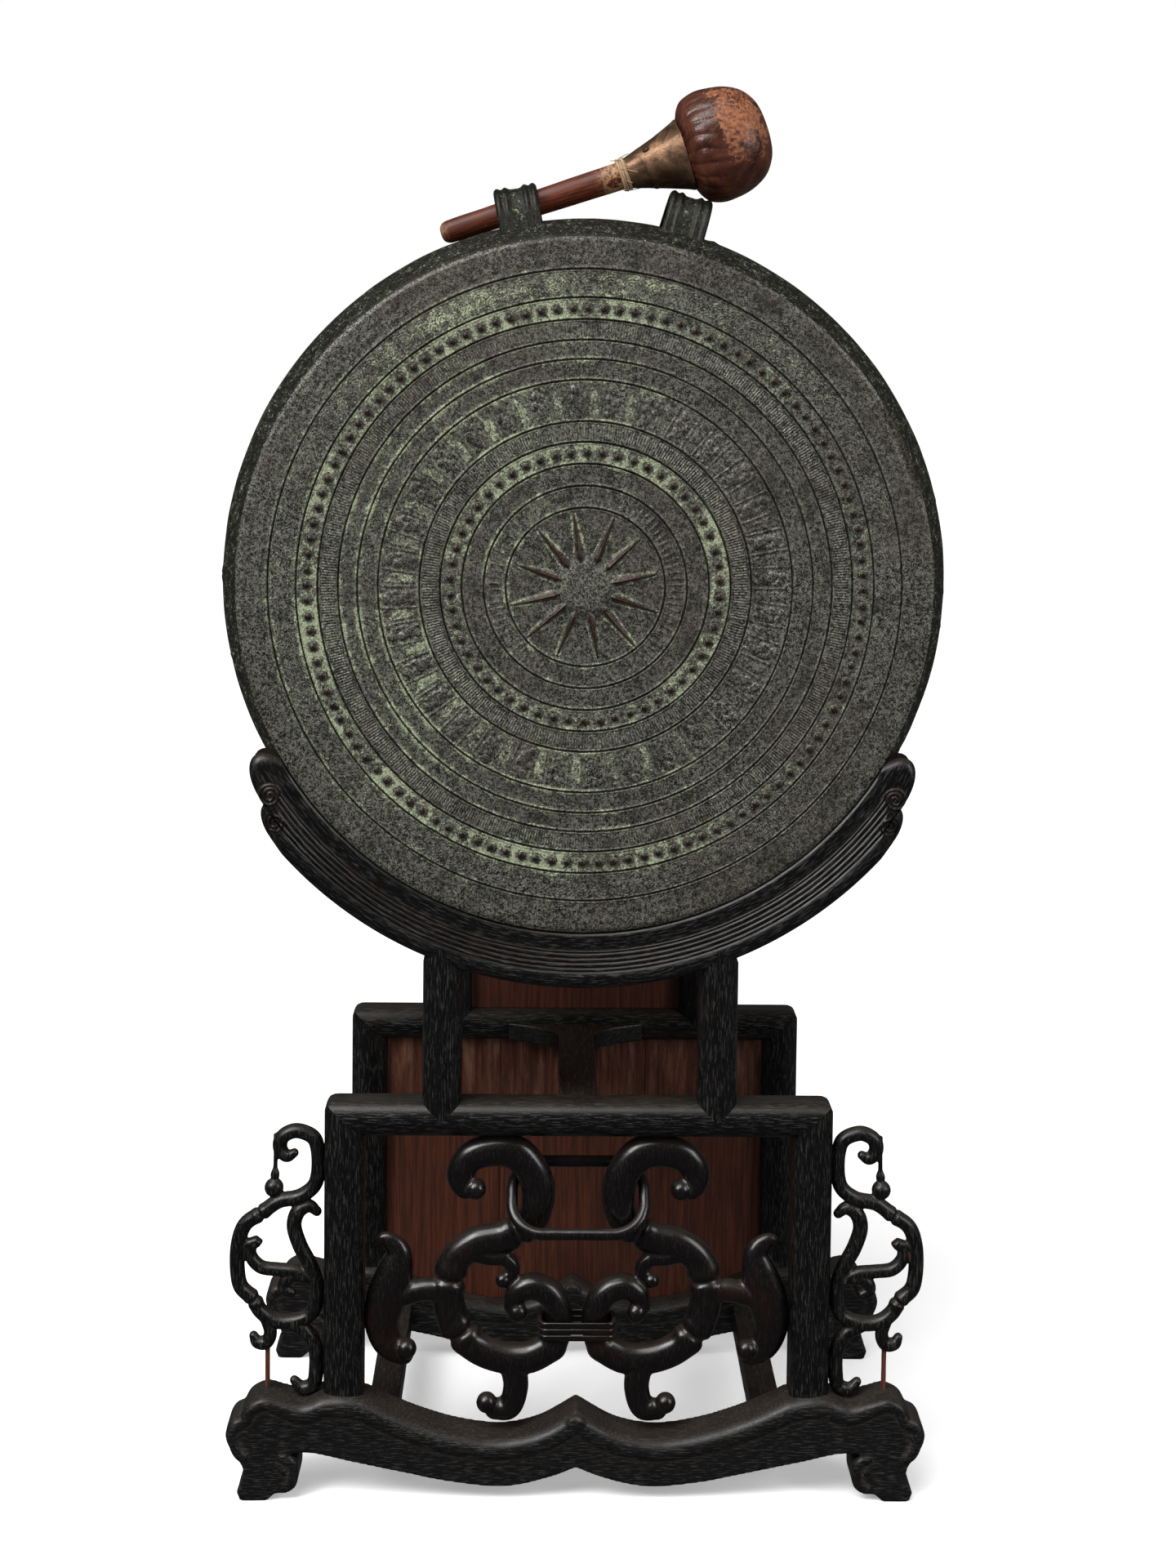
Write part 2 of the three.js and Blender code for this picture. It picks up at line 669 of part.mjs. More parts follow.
function beaterCore() {
  const core = [[11.2, 132], [23, 133], [33, 141.5], [37, 150], [36.5, 160], [32, 172], [24, 182], [0, 189]];
  return layBeater(turned([...core, [0, 140.4], [11.2, 140.4], [11.2, 132]], 18));
}

// The leather goes over the core and is gathered in the ferrule's mouth, open round the stick.
function beaterHead() {
  const mouth = [[13.5, 114.5], [19.4, 121], [21.8, 126], [24.6, 131.4]];
  const inside = [
    [0, 189.6], [24.3, 182.6], [32.6, 172.4], [37.1, 160], [37.6, 150], [33.5, 141], [23.2, 132.4],
    [17, 126], [12.2, 118],
  ];
  return layBeater(turned([...mouth, ...HEAD, ...inside, mouth[0]], 20));
}

function beaterTwine() {
  const profile = [[10.9, 83.5], [12.9, 84], [13.4, 85.6], [12.9, 87.2], [10.9, 87.7]];
  return layBeater(turned([...profile, profile[0]], 14));
}

// A nail's head standing on the ferrule, at an angle round it from the top towards the front.
function nail(around) {
  const { along, radius, r, height, lean } = NAIL;
  const geometry = new THREE.CylinderGeometry(r * 0.7, r, height, 10);
  geometry.translate(0, height / 2, 0).rotateX(THREE.MathUtils.degToRad(90 + lean)).translate(0, 0, radius);
  geometry.rotateY(THREE.MathUtils.degToRad(around));
  return layBeater(solid(geometry.translate(0, along, 0)));
}

// ---- Assembly ----

for (const [where, y, innerR] of [
  ["front", 0, CRADLE_INNER_R],
  ["rear", FRAME_SPACING, REAR_CRADLE_INNER_R],
]) {
  const baseY = y + BASE_FRONT;
  const x = FRAME_HALF - MEMBER / 2;
  const mortises = join([tenonAt(-x, y, GAP), tenonAt(x, y, GAP)]);
  const clear = baseBoard(baseY, GAP);
  add(`${where}_base_board`, baseBoard(baseY).subtract(mortises), WOOD);
  const stile = leftStile(y, clear);
  add(`${where}_left_stile`, stile, WOOD);
  add(`${where}_right_stile`, stile, WOOD, mirrored);
  add(`${where}_top_rail`, topRail(y), WOOD);
  const cradleClear = cradleBlank(y, innerR, GAP);
  const postShape = post(-POST_X, y, cradleClear);
  add(`${where}_left_post`, postShape, WOOD);
  add(`${where}_right_post`, postShape, WOOD, mirrored);
  const notches = join([-1, 1].map((side) => postMitres(side * POST_X, y, GAP)));
  const space = drumSpace();
  add(`${where}_cradle`, cradleBlank(y, innerR - 26).subtract(space).subtract(notches), WOOD);
}

const rearY = FRAME_SPACING;
const panelY = PANEL_BEHIND.map((behind) => rearY + behind);
const postInner = POST_X - POST_WIDTH / 2 - GAP;
const upperPanel = box([-postInner, postInner], panelY, [RAIL_TOP + GAP, UPPER_PANEL_TOP]);
add("rear_upper_panel", upperPanel.subtract(cradleBlank(rearY, 200, GAP)), PANEL_WOOD);
const panelHalf = INNER_HALF - GAP;
const lowerPanel = box([-panelHalf, panelHalf], panelY, [LOWER_PANEL_BOTTOM, RAIL_BOTTOM - GAP]);
add("rear_lower_panel", lowerPanel.subtract(baseBoard(rearY + BASE_FRONT, GAP)), PANEL_WOOD);

const runnerY = [BASE_FRONT + BASE_DEPTH + GAP, rearY + BASE_FRONT - GAP];
const runnerX = [-RUNNER.outer, -RUNNER.inner];
addPair("base_runner", box(runnerX, runnerY, [RUNNER.bottom, RUNNER.top]), WOOD);

// The top stretcher flares in two ogee brackets where it meets the rear rail.
function topStretcher() {
  const { half, flare, run, bottom, height } = STRETCHER;
  const from = FRAME_DEPTH + GAP;
  const to = rearY - GAP;
  const ogee = [to - run * 0.42, half + (flare - half) * 0.38, to - run * 0.25];
  const outline = new THREE.Shape();
  outline.moveTo(-half, from);
  outline.lineTo(half, from);
  outline.lineTo(half, to - run);
  outline.bezierCurveTo(half, ogee[0], ogee[1], ogee[2], flare, to);
  outline.lineTo(-flare, to);
  outline.bezierCurveTo(-ogee[1], ogee[2], -half, ogee[0], -half, to - run);
  const geometry = new THREE.ExtrudeGeometry(outline, {
    depth: height,
    bevelEnabled: false,
    curveSegments: 5,
  });
  return solid(geometry.translate(0, 0, bottom));
}
add("top_stretcher", topStretcher(), WOOD);

// What is kept of the carving: the left of the middle, inside the frame and off the base.
const carvingY = [-20, 60];
const frontBaseClear = baseBoard(BASE_FRONT, GAP);
const scroll = scrollHalf()
  .subtract(scrollBinding(GAP))
  .subtract(box([-GAP / 2, 30], carvingY, [40, 280]))
  .subtract(box([-FRAME_HALF, -INNER_HALF + GAP], carvingY, [40, 280]))
  .subtract(box([-FRAME_HALF, 30], carvingY, [RAIL_BOTTOM - GAP, RAIL_TOP]))
  .subtract(frontBaseClear);
const scrollPieces = scroll.decompose().sort((a, b) => b.volume() - a.volume());
addPair("scroll", scrollPieces[0], CARVED_WOOD);
add("scroll_binding", scrollBinding(), CARVED_WOOD);

function wingPeg({ out, r, bottom, top }, grow = 0) {
  return peg(-FRAME_HALF - out, bottom - grow, top + grow, r + grow, WING_Y);
}
const wing = leftWing()
  .subtract(frontBaseClear)
  .subtract(wingPeg(PEG, GAP))
  .subtract(wingPeg(FOOT_PEG, GAP));
addPair("wing", wing, WOOD);
addPair("wing_peg", wingPeg(PEG).subtract(frontBaseClear), PEG_WOOD);
addPair("wing_foot_peg", wingPeg(FOOT_PEG).subtract(frontBaseClear), PEG_WOOD);

add("loose_ring", looseRing(), CARVED_WOOD);

add("drum_face", drumFace(), BRONZE);
add("drum_mantle", drumMantle(), BRONZE);
for (const [name, angle] of Object.entries(HANDLE_ANGLES)) {
  add(`${name}_handle`, handle(angle), BRONZE);
}

add("beater_stick", beaterStick(), STICK_WOOD);
add("beater_ferrule", beaterFerrule(), FERRULE_METAL);
add("beater_core", beaterCore(), WADDING);
add("beater_head", beaterHead(), LEATHER);
add("beater_twine", beaterTwine(), TWINE);
add("beater_nail_upper", nail(48), FERRULE_METAL);
add("beater_nail_lower", nail(158), FERRULE_METAL);

object.add(mirrored);
const backY = DRUM_FACE_Y + DRUM_LENGTH;
object.position.y = -(BASE_FRONT + backY) / 2;

const part = new THREE.Group();
part.add(object);

export default part;
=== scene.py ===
"""Looks of a bronze drum gong on its carved hardwood stand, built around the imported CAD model.

Shapes are worked out in millimetres in the frame's own axes: +X right, the drum's face towards -Y,
+Z up. Each piece is made of plain arrays of points and faces, and every material is procedural.
"""

import math

import bmesh
import bpy
import numpy as np
from mathutils import Matrix, Vector


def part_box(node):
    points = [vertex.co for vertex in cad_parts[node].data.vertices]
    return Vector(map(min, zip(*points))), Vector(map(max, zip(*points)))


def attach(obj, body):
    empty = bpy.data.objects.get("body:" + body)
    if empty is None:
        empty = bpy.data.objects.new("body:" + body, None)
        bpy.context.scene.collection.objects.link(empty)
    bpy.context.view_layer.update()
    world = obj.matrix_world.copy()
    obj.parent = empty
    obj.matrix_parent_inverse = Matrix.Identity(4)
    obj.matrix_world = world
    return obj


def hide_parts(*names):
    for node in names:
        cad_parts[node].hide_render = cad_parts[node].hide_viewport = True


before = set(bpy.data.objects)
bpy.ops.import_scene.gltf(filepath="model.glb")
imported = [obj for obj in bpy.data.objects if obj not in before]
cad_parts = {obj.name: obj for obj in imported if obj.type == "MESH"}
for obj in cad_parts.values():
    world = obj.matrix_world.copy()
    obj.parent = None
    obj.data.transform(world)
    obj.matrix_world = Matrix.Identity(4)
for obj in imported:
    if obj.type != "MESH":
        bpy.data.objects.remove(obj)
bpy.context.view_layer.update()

MM = 0.001
DEG = math.pi / 180
SIDES = ((-1, "left"), (1, "right"))


def cad(node):
    """Lowest and highest corners of a CAD node, in millimetres."""
    low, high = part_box(node)
    return np.array(low) / MM, np.array(high) / MM


# ---- Places taken from the frame ----

STILE_LOW, STILE_HIGH = cad("front_left_stile")
RAIL_LOW, RAIL_TOP = (corner[2] for corner in cad("front_top_rail"))
POST_LOW, POST_HIGH = cad("front_right_post")
FACE_LOW, FACE_HIGH = cad("drum_face")
MANTLE_HIGH = cad("drum_mantle")[1]
BOARD_LOW, BOARD_HIGH = cad("front_base_board")
CRADLE_LOW, CRADLE_HIGH = cad("front_cradle")
FRONT_Y, REAR_Y = STILE_LOW[1], cad("rear_left_stile")[0][1]
DEPTH = STILE_HIGH[1] - FRONT_Y
FRAME_HALF = -STILE_LOW[0]
MEMBER = FRAME_HALF + STILE_HIGH[0]
INNER_HALF = FRAME_HALF - MEMBER
POST_X = (POST_LOW[0] + POST_HIGH[0]) / 2
POST_HALF = (POST_HIGH[0] - POST_LOW[0]) / 2
POST_TOP = POST_HIGH[2]
FACE_Y, FACE_R = FACE_LOW[1], FACE_HIGH[0]
DRUM_Z = (FACE_LOW[2] + FACE_HIGH[2]) / 2
CHEST_R, DRUM_END = MANTLE_HIGH[0], MANTLE_HIGH[1]
BASE_Y, REAR_BASE_Y = BOARD_LOW[1], cad("rear_base_board")[0][1]
BASE_DEPTH = BOARD_HIGH[1] - BASE_Y
CRADLE_DEPTH = CRADLE_HIGH[1] - CRADLE_LOW[1]
CRADLE_R = DRUM_Z - CRADLE_LOW[2]
CARVING_Y = FRONT_Y + 17
WING_Y = FRONT_Y + 15
GAP = 0.3
# Seats of the two cradles: the radius at the front, and how much wider it is at the back.
FRONT_SEAT = (248, 7.8)
REAR_SEAT = (228.4, 14.6)


# ---- Numbers and noise ----


def smooth(x, low, high):
    """0 below low, 1 above high, and smooth between them. It also runs from high to low."""
    t = np.clip((np.asarray(x, float) - low) / (high - low), 0, 1)
    return t * t * (3 - 2 * t)


def bump(x, centre, width):
    """A smooth hump of height 1."""
    return np.exp(-(((np.asarray(x, float) - centre) / width) ** 2))


def dome(x):
    """1 in the middle, falling along a half circle to 0 at a distance of 1 either way."""
    return np.sqrt(np.clip(1 - x**2, 0, 1))


def wave(x):
    """A cosine from 0 to 1."""
    return 0.5 + 0.5 * np.cos(x)


def apart(a, b):
    """Degrees from b to a, between -180 and 180."""
    return (a - b + 180) % 360 - 180


def turns(count):
    """Angles evenly round a circle."""
    return np.linspace(0, 2 * math.pi, count, endpoint=False)


def value_noise(points, cell, seed):
    """Smooth seeded noise from 0 to 1 at points of shape (..., 3), with cells of the given size."""
    q = np.asarray(points, float) / cell
    base = np.floor(q).astype(np.int64)
    f = q - base
    f = f * f * (3 - 2 * f)
    total = np.zeros(q.shape[:-1])
    for dx in (0, 1):
        for dy in (0, 1):
            for dz in (0, 1):
                key = (
                    (base[..., 0] + dx) * 73856093
                    ^ (base[..., 1] + dy) * 19349663
                    ^ (base[..., 2] + dz) * 83492791
                    ^ seed * 2654435761
                )
                key = (key ^ (key >> 13)) * 1274126177 & 0x7FFFFFFF
                corner = ((key ^ (key >> 16)) & 0xFFFF) / 65535.0
                weight = np.abs(1 - dx - f[..., 0]) * np.abs(1 - dy - f[..., 1])
                total += corner * weight * np.abs(1 - dz - f[..., 2])
    return total


def cloud(points, cell, seed, octaves=3):
    """Sum of finer and finer noises, from 0 to 1."""
    total, weight, whole = 0, 1.0, 0.0
    for k in range(octaves):
        total = total + weight * value_noise(points, cell / 2**k, seed + k)
        whole += weight
        weight *= 0.5
    return total / whole


def spline(points, count):
    """Centripetal Catmull-Rom curve through the points, as count rows."""
    p = np.asarray(points, float)
    p = np.vstack([2 * p[0] - p[1], p, 2 * p[-1] - p[-2]])
    pieces = len(p) - 3
    out = []
    for u in np.linspace(0, pieces, count):
        i = min(int(u), pieces - 1)
        a, b, c, d = p[i : i + 4]
        gaps = [max(np.linalg.norm(q - r) ** 0.5, 1e-6) for q, r in ((b, a), (c, b), (d, c))]
        t1, t2 = gaps[0], gaps[0] + gaps[1]
        t3 = t2 + gaps[2]
        t = t1 + (u - i) * (t2 - t1)
        a1 = (t1 - t) / t1 * a + t / t1 * b
        a2 = (t2 - t) / (t2 - t1) * b + (t - t1) / (t2 - t1) * c
        a3 = (t3 - t) / (t3 - t2) * c + (t - t2) / (t3 - t2) * d
        b1 = (t2 - t) / t2 * a1 + t / t2 * a2
        b2 = (t3 - t) / (t3 - t1) * a2 + (t - t1) / (t3 - t1) * a3
        out.append((t2 - t) / (t2 - t1) * b1 + (t - t1) / (t2 - t1) * b2)
    return np.array(out)


def evenly(line, count):
    """The same polyline as count points evenly spaced along it."""
    steps = np.linalg.norm(np.diff(line, axis=0), axis=1)
    along = np.concatenate([[0], np.cumsum(steps)])
    at = np.linspace(0, along[-1], count)
    return np.stack([np.interp(at, along, line[:, k]) for k in range(line.shape[1])], 1)


def tangents(line):
    """Unit directions along a polyline."""
    t = np.gradient(line, axis=0)
    return t / np.linalg.norm(t, axis=1)[:, None]


def rounded_loop(half_a, half_b, corner, steps):
    """The outline of a rectangle with round corners."""
    path = []
    for sa, sb, start in ((1, 1, 0), (-1, 1, 90), (-1, -1, 180), (1, -1, 270)):
        for turn in np.linspace(start, start + 90, steps) * DEG:
            a = sa * (half_a - corner) + corner * math.cos(turn)
            path.append([a, sb * (half_b - corner) + corner * math.sin(turn)])
    return np.array(path)


# ---- Meshes ----


def grid_faces(rows, cols, wrap_rows=False, wrap_cols=False):
    i = np.arange(rows if wrap_rows else rows - 1)
    j = np.arange(cols if wrap_cols else cols - 1)
    a, b = (k.ravel() for k in np.meshgrid(i, j, indexing="ij"))
    a2, b2 = (a + 1) % rows, (b + 1) % cols
    return np.stack([a * cols + b, a2 * cols + b, a2 * cols + b2, a * cols + b2], 1)


class Shape:
    """Points and faces gathered into one mesh, with a grain coordinate for each point."""

    def __init__(self):
        self.points, self.faces, self.grain, self.count = [], [], [], 0

    def add(self, points, faces, grain=None):
        points = np.asarray(points, float).reshape(-1, 3)
        grain = points if grain is None else np.asarray(grain, float).reshape(-1, 3)
        self.points.append(points)
        self.grain.append(grain)
        self.faces += [[v + self.count for v in f] for f in faces]
        self.count += len(points)
        return self

    def grid(self, points, wrap_rows=False, wrap_cols=False, caps=False, grain=None):
        """A grid of points (rows, cols, 3). Caps close the first and last rows."""
        rows, cols = points.shape[:2]
        faces = grid_faces(rows, cols, wrap_rows, wrap_cols).tolist()
        if caps:
            faces.append(list(range(cols))[::-1])
            faces.append([(rows - 1) * cols + k for k in range(cols)])
        return self.add(points, faces, grain)

    def arrays(self):
        return np.vstack(self.points), self.faces, np.vstack(self.grain)

    def mirror(self):
        """Adds the mirror image in X."""
        points, faces, grain = self.arrays()
        flip = [-1, 1, 1]
        self.add(points * flip, [f[::-1] for f in faces], grain * flip)


def mesh_of(name, points, faces):
    mesh = bpy.data.meshes.new(name)
    mesh.from_pydata((points * MM).tolist(), [], faces)
    mesh.update()
    edit = bmesh.new()
    edit.from_mesh(mesh)
    bmesh.ops.recalc_face_normals(edit, faces=edit.faces)
    edit.to_mesh(mesh)
    edit.free()
    return mesh


def read_vectors(mesh, field):
    """A vector of every vertex, such as co or normal, as rows."""
    values = np.empty(len(mesh.vertices) * 3)
    mesh.vertices.foreach_get(field, values)
    return values.reshape(-1, 3)


def convexity(mesh, rounds=3):
    """How far each point stands out from its neighbours: above 0 on an edge, below in a crease."""
    count = len(mesh.vertices)
    points, normals = read_vectors(mesh, "co"), read_vectors(mesh, "normal")
    edges = np.empty(len(mesh.edges) * 2, np.int64)
    mesh.edges.foreach_get("vertices", edges)
    a, b = edges.reshape(-1, 2).T
    near = np.maximum(np.bincount(a, minlength=count) + np.bincount(b, minlength=count), 1)
    lean = np.einsum("ij,ij->i", points[a] - points[b], normals[a] - normals[b])
    length = np.linalg.norm(points[a] - points[b], axis=1) + 1e-9
    bend = lean / length**2 * MM
    value = (np.bincount(a, bend, count) + np.bincount(b, bend, count)) / near
    for _ in range(rounds):
        around = np.bincount(a, value[b], count) + np.bincount(b, value[a], count)
        value = 0.4 * value + 0.6 * around / near
    return value


def set_attribute(mesh, name, values):
    values = np.asarray(values, np.float32)
    kind = "FLOAT_VECTOR" if values.ndim == 2 else "FLOAT"
    attribute = mesh.attributes.new(name, kind, "POINT")
    attribute.data.foreach_set("vector" if values.ndim == 2 else "value", values.ravel())


def new_object(name, data):
    """An object of the data, linked into the scene."""
    obj = bpy.data.objects.new(name, data)
    bpy.context.scene.collection.objects.link(obj)
    return obj


def piece(name, mesh, body, nodes, slot, material, crease=40):
    """A finished piece: its object, the body it rides on, and the CAD nodes it stands for."""
    obj = new_object(name, mesh)
    mesh.shade_smooth()
    if crease:
        mesh.set_sharp_from_angle(angle=crease * DEG)
    set_attribute(mesh, "curve", convexity(mesh))
    mesh.materials.append(material)
    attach(obj, body)
    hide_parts(*nodes)
    return obj


def build(name, shape, body, nodes, slot, material, extra=None, **how):
    """A piece made straight from a Shape."""
    points, faces, grain = shape.arrays()
    mesh = mesh_of(name, points, faces)
    set_attribute(mesh, "grain", grain * MM)
    for key, values in (extra or {}).items():
        set_attribute(mesh, key, values)
    return piece(name, mesh, body, nodes, slot, material, **how)


def merged(name, shape, voxel, smoothing=2):
    """The Shape's overlapping solids melted into one skin, as a mesh."""
    points, faces, _ = shape.arrays()
    obj = new_object(name, mesh_of(name, points, faces))
    remesh = obj.modifiers.new("skin", "REMESH")
    remesh.mode = "VOXEL"
    remesh.voxel_size = voxel * MM
    soft = obj.modifiers.new("soft", "SMOOTH")
    soft.factor = 0.5
    soft.iterations = smoothing
    evaluated = obj.evaluated_get(bpy.context.evaluated_depsgraph_get())
    mesh = bpy.data.meshes.new_from_object(evaluated)
    old = obj.data
    bpy.data.objects.remove(obj)
    bpy.data.meshes.remove(old)
    mesh.name = name
    return mesh


def mesh_points(mesh):
    return read_vectors(mesh, "co") / MM


def move_points(mesh, points):
    mesh.vertices.foreach_set("co", (points * MM).ravel())
    mesh.update()


def tube(line, radii, sides=16, depth_scale=1.0, middle=0.0, behind=0.0):
    """A closed tube along a line of X and Z, with round ends.

    Its middle stands at the given Y, or behind it by a share of its own radius.
    """
    t = tangents(line)
    steps = np.sin(np.linspace(0, 90, 6)[1:-1] * DEG)
    rows = []
    for k in steps[::-1]:
        rows.append((line[0] - t[0] * k * radii[0], t[0], radii[0] * math.sqrt(1 - k * k)))
    rows += list(zip(line, t, radii))
    for k in steps:
        rows.append((line[-1] + t[-1] * k * radii[-1], t[-1], radii[-1] * math.sqrt(1 - k * k)))
    angles = turns(sides)
    grid = []
    for p, q, r in rows:
        across = r * np.cos(angles)
        y = middle + r * (behind + depth_scale * np.sin(angles))
        grid.append(np.stack([p[0] - across * q[1], y, p[1] + across * q[0]], 1))
    return np.array(grid)


def add_stroke(shape, points, y, step=1.2, sides=20, fullness=1.0, cusps=()):
    """A carved stroke through points of X, Z and half-width, pinched between swells at cusps."""
    rough = spline(points, 40 * len(points))
    length = np.linalg.norm(np.diff(rough[:, :2], axis=0), axis=1).sum()
    line = evenly(rough, max(int(length / step), 6))
    along = np.linspace(0, length, len(line))
    for cusp in cusps:
        off = np.abs(along - along[np.argmin(np.hypot(*(line[:, :2] - cusp).T))])
        size = line[:, 2].mean()
        pinch, swell = bump(off, 0, 0.17 * size), bump(off, 0.55 * size, 0.35 * size)
        line[:, 2] *= 1 - 0.24 * pinch + 0.07 * swell
    shape.grid(tube(line[:, :2], line[:, 2], sides, fullness, y), wrap_cols=True, caps=True)


def add_ball(shape, x, z, r, y):
    around, down = 18, 11
    theta = np.linspace(0, math.pi, down + 2)[1:-1][:, None]
    phi = turns(around)
    points = np.zeros((down, around, 3))
    points[..., 0] = x + r * np.sin(theta) * np.cos(phi)
    points[..., 1] = y + r * np.cos(theta)
    points[..., 2] = z + r * np.sin(theta) * np.sin(phi)
    shape.grid(points, wrap_cols=True, caps=True)


def on_drum(across, along, up):
    """Distance behind the face, with up and across measured from the drum's axis."""
    return np.stack([across, FACE_Y + along, DRUM_Z + up], -1)


# ---- Materials ----


class Value:
    """A node's output. Adding, subtracting or multiplying it makes a Math node."""

    def __init__(self, look, socket):
        self.look, self.socket = look, socket

    def __add__(self, other):
        return self.look.math("ADD", self, other)

    def __sub__(self, other):
        return self.look.math("SUBTRACT", self, other)

    def __mul__(self, other):
        return self.look.math("MULTIPLY", self, other)

    def clamped(self):
        """The same sum or product, held between 0 and 1."""
        self.socket.node.use_clamp = True
        return self


class Look:
    """A material's node tree, built by short calls that return Values."""

    def __init__(self, name):
        self.material = bpy.data.materials.new(name)
        self.material.use_nodes = True
        self.tree = self.material.node_tree
        self.shader = self.tree.nodes["Principled BSDF"]

    def node(self, kind, inputs, output, **settings):
        made = self.tree.nodes.new("ShaderNode" + kind)
        for key, value in settings.items():
            setattr(made, key, value)
        for key, value in inputs.items():
            self.feed(made.inputs[key], value)
        return Value(self, made.outputs[output])

    def feed(self, socket, value):
        if isinstance(value, Value):
            self.tree.links.new(value.socket, socket)
        else:
            socket.default_value = value

    def attribute(self, name, output="Fac"):
        return self.node("Attribute", {}, output, attribute_name=name)

    def place(self, scale=(1, 1, 1)):
        """The object's own coordinate in metres."""
        vector = self.node("TexCoord", {}, "Object")
        return self.node("Mapping", {"Vector": vector, "Scale": scale}, "Vector")

    def grain(self, along, across):
        """The coordinate that follows the grain, in metres times a scale along and across it."""
        inputs = {"Vector": self.attribute("grain", "Vector"), "Scale": (along, across, across)}
        return self.node("Mapping", inputs, "Vector")

    def noise(self, vector, scale, detail=4.0, roughness=0.55, distortion=0.0):
        inputs = {"Vector": vector, "Scale": scale, "Detail": detail, "Roughness": roughness}
        return self.node("TexNoise", {**inputs, "Distortion": distortion}, "Fac")

    def cells(self, vector, scale, feature="F1"):
        inputs = {"Vector": vector, "Scale": scale}
        return self.node("TexVoronoi", inputs, "Distance", feature=feature)

    def math(self, operation, a, b):
        return self.node("Math", {0: a, 1: b}, 0, operation=operation)

    def span(self, value, low, high, to_low=0.0, to_high=1.0):
        """Maps low..high to to_low..to_high, smoothly and clamped."""
        inputs = {"Value": value, "From Min": low, "From Max": high}
        inputs.update({"To Min": to_low, "To Max": to_high})
        return self.node("MapRange", inputs, "Result", interpolation_type="SMOOTHSTEP")

    def mix(self, amount, a, b):
        """Mixes two colours."""
        return self.node("Mix", {0: amount, 6: a, 7: b}, 2, data_type="RGBA")

    def up(self):
        """How much the surface faces up."""
        normal = self.node("NewGeometry", {}, "Normal")
        return self.node("SeparateXYZ", {"Vector": normal}, "Z")

    def finish(self, color, roughness, height=None, strength=0.3, distance=0.0004, **fixed):
        self.feed(self.shader.inputs["Base Color"], color)
        self.feed(self.shader.inputs["Roughness"], roughness)
        for key, value in fixed.items():
            self.feed(self.shader.inputs[key.replace("_", " ")], value)
        if height is not None:
            inputs = {"Height": height, "Strength": strength, "Distance": distance}
            self.feed(self.shader.inputs["Normal"], self.node("Bump", inputs, "Normal"))
        return self.material


def rgb(red, green, blue):
    """A colour given as display values from 0 to 255."""
    linear = []
    for value in (red / 255, green / 255, blue / 255):
        linear.append(((value + 0.055) / 1.055) ** 2.4 if value > 0.04 else value / 12.92)
    return (*linear, 1.0)


def shade(color, factor):
    """A colour made lighter or darker."""
    return (*(min(c * factor, 1) for c in color[:3]), 1.0)


def black_wood(name, base, brown, gloss, coat=0.1, speckle=0.3, pore=0.5, relief=0.4):
    """Stained hardwood: fine pores along the grain, worn brown edges, dust on what faces up."""
    look = Look(name)
    body = look.place()
    curve = look.attribute("curve")
    figure = look.noise(look.grain(12, 150), 6, 5, 0.6, 0.4)
    pores = look.span(look.noise(look.grain(70, 950), 1.4, 3, 0.65), 0.36, 0.47, 1.0, 0.0)
    blotch = look.noise(body, 14, 4, 0.6)
    color = look.mix(look.span(figure, 0.35, 0.72), base, shade(base, 1.7))
    color = look.mix(pores * pore, color, rgb(66, 65, 63))
    color = look.mix(look.span(blotch, 0.55, 0.85) * speckle, color, brown)
    worn = look.span(curve + look.noise(body, 60, 4, 0.65) * 0.9, 0.7, 0.98)
    color = look.mix(worn * 0.75, color, brown)
    chips = look.span(look.cells(body, 150) + curve, 0.045, 0.02) * look.span(blotch, 0.46, 0.56)
    color = look.mix(chips * 0.8, color, shade(brown, 3.2))
    dirt = look.span(look.up(), 0.35, 0.95) * look.noise(body, 45, 5, 0.7)
    dirt = (dirt + look.span(curve, -0.01, -0.09) * 0.35).clamped() * 0.2
    color = look.mix(dirt, color, rgb(104, 92, 80))
    rough = (pores * 0.16 + dirt * 0.6 + blotch * 0.22 + gloss).clamped()
    fixed = {"Specular_IOR_Level": 0.32, "Coat_Weight": coat, "Coat_Roughness": 0.2}
    return look.finish(color, rough, figure * 0.5 - pores * 0.6, relief, 0.00035, **fixed)


def board_wood():
    """Red-brown boards with upright grain, paler streaks and dusty stains."""
    look = Look("panel_wood")
    body = look.place()
    streaks = look.noise(look.grain(5, 120), 2.6, 6, 0.66, 0.3)
    fine = look.noise(look.grain(14, 700), 1.3, 4, 0.7)
    stain = look.noise(body, 9, 5, 0.62)
    color = look.mix(look.span(streaks, 0.32, 0.72), rgb(50, 24, 14), rgb(82, 41, 26))
    color = look.mix(look.span(fine, 0.44, 0.33), color, rgb(38, 17, 10))
    color = look.mix(look.span(stain, 0.52, 0.75, 0, 0.6), color, rgb(40, 22, 16))
    smears = look.span(look.noise(look.grain(9, 60), 2.0, 5, 0.7), 0.42, 0.74)
    color = look.mix(look.attribute("dust") * smears, color, rgb(134, 98, 78))
    knots = look.span(look.noise(body, 55, 3, 0.6), 0.7, 0.76)
    color = look.mix(knots * 0.7, color, rgb(26, 14, 10))
    rough = fine * 0.25 + 0.42
    return look.finish(color, rough, streaks + fine, 0.4, 0.0003, Specular_IOR_Level=0.25)


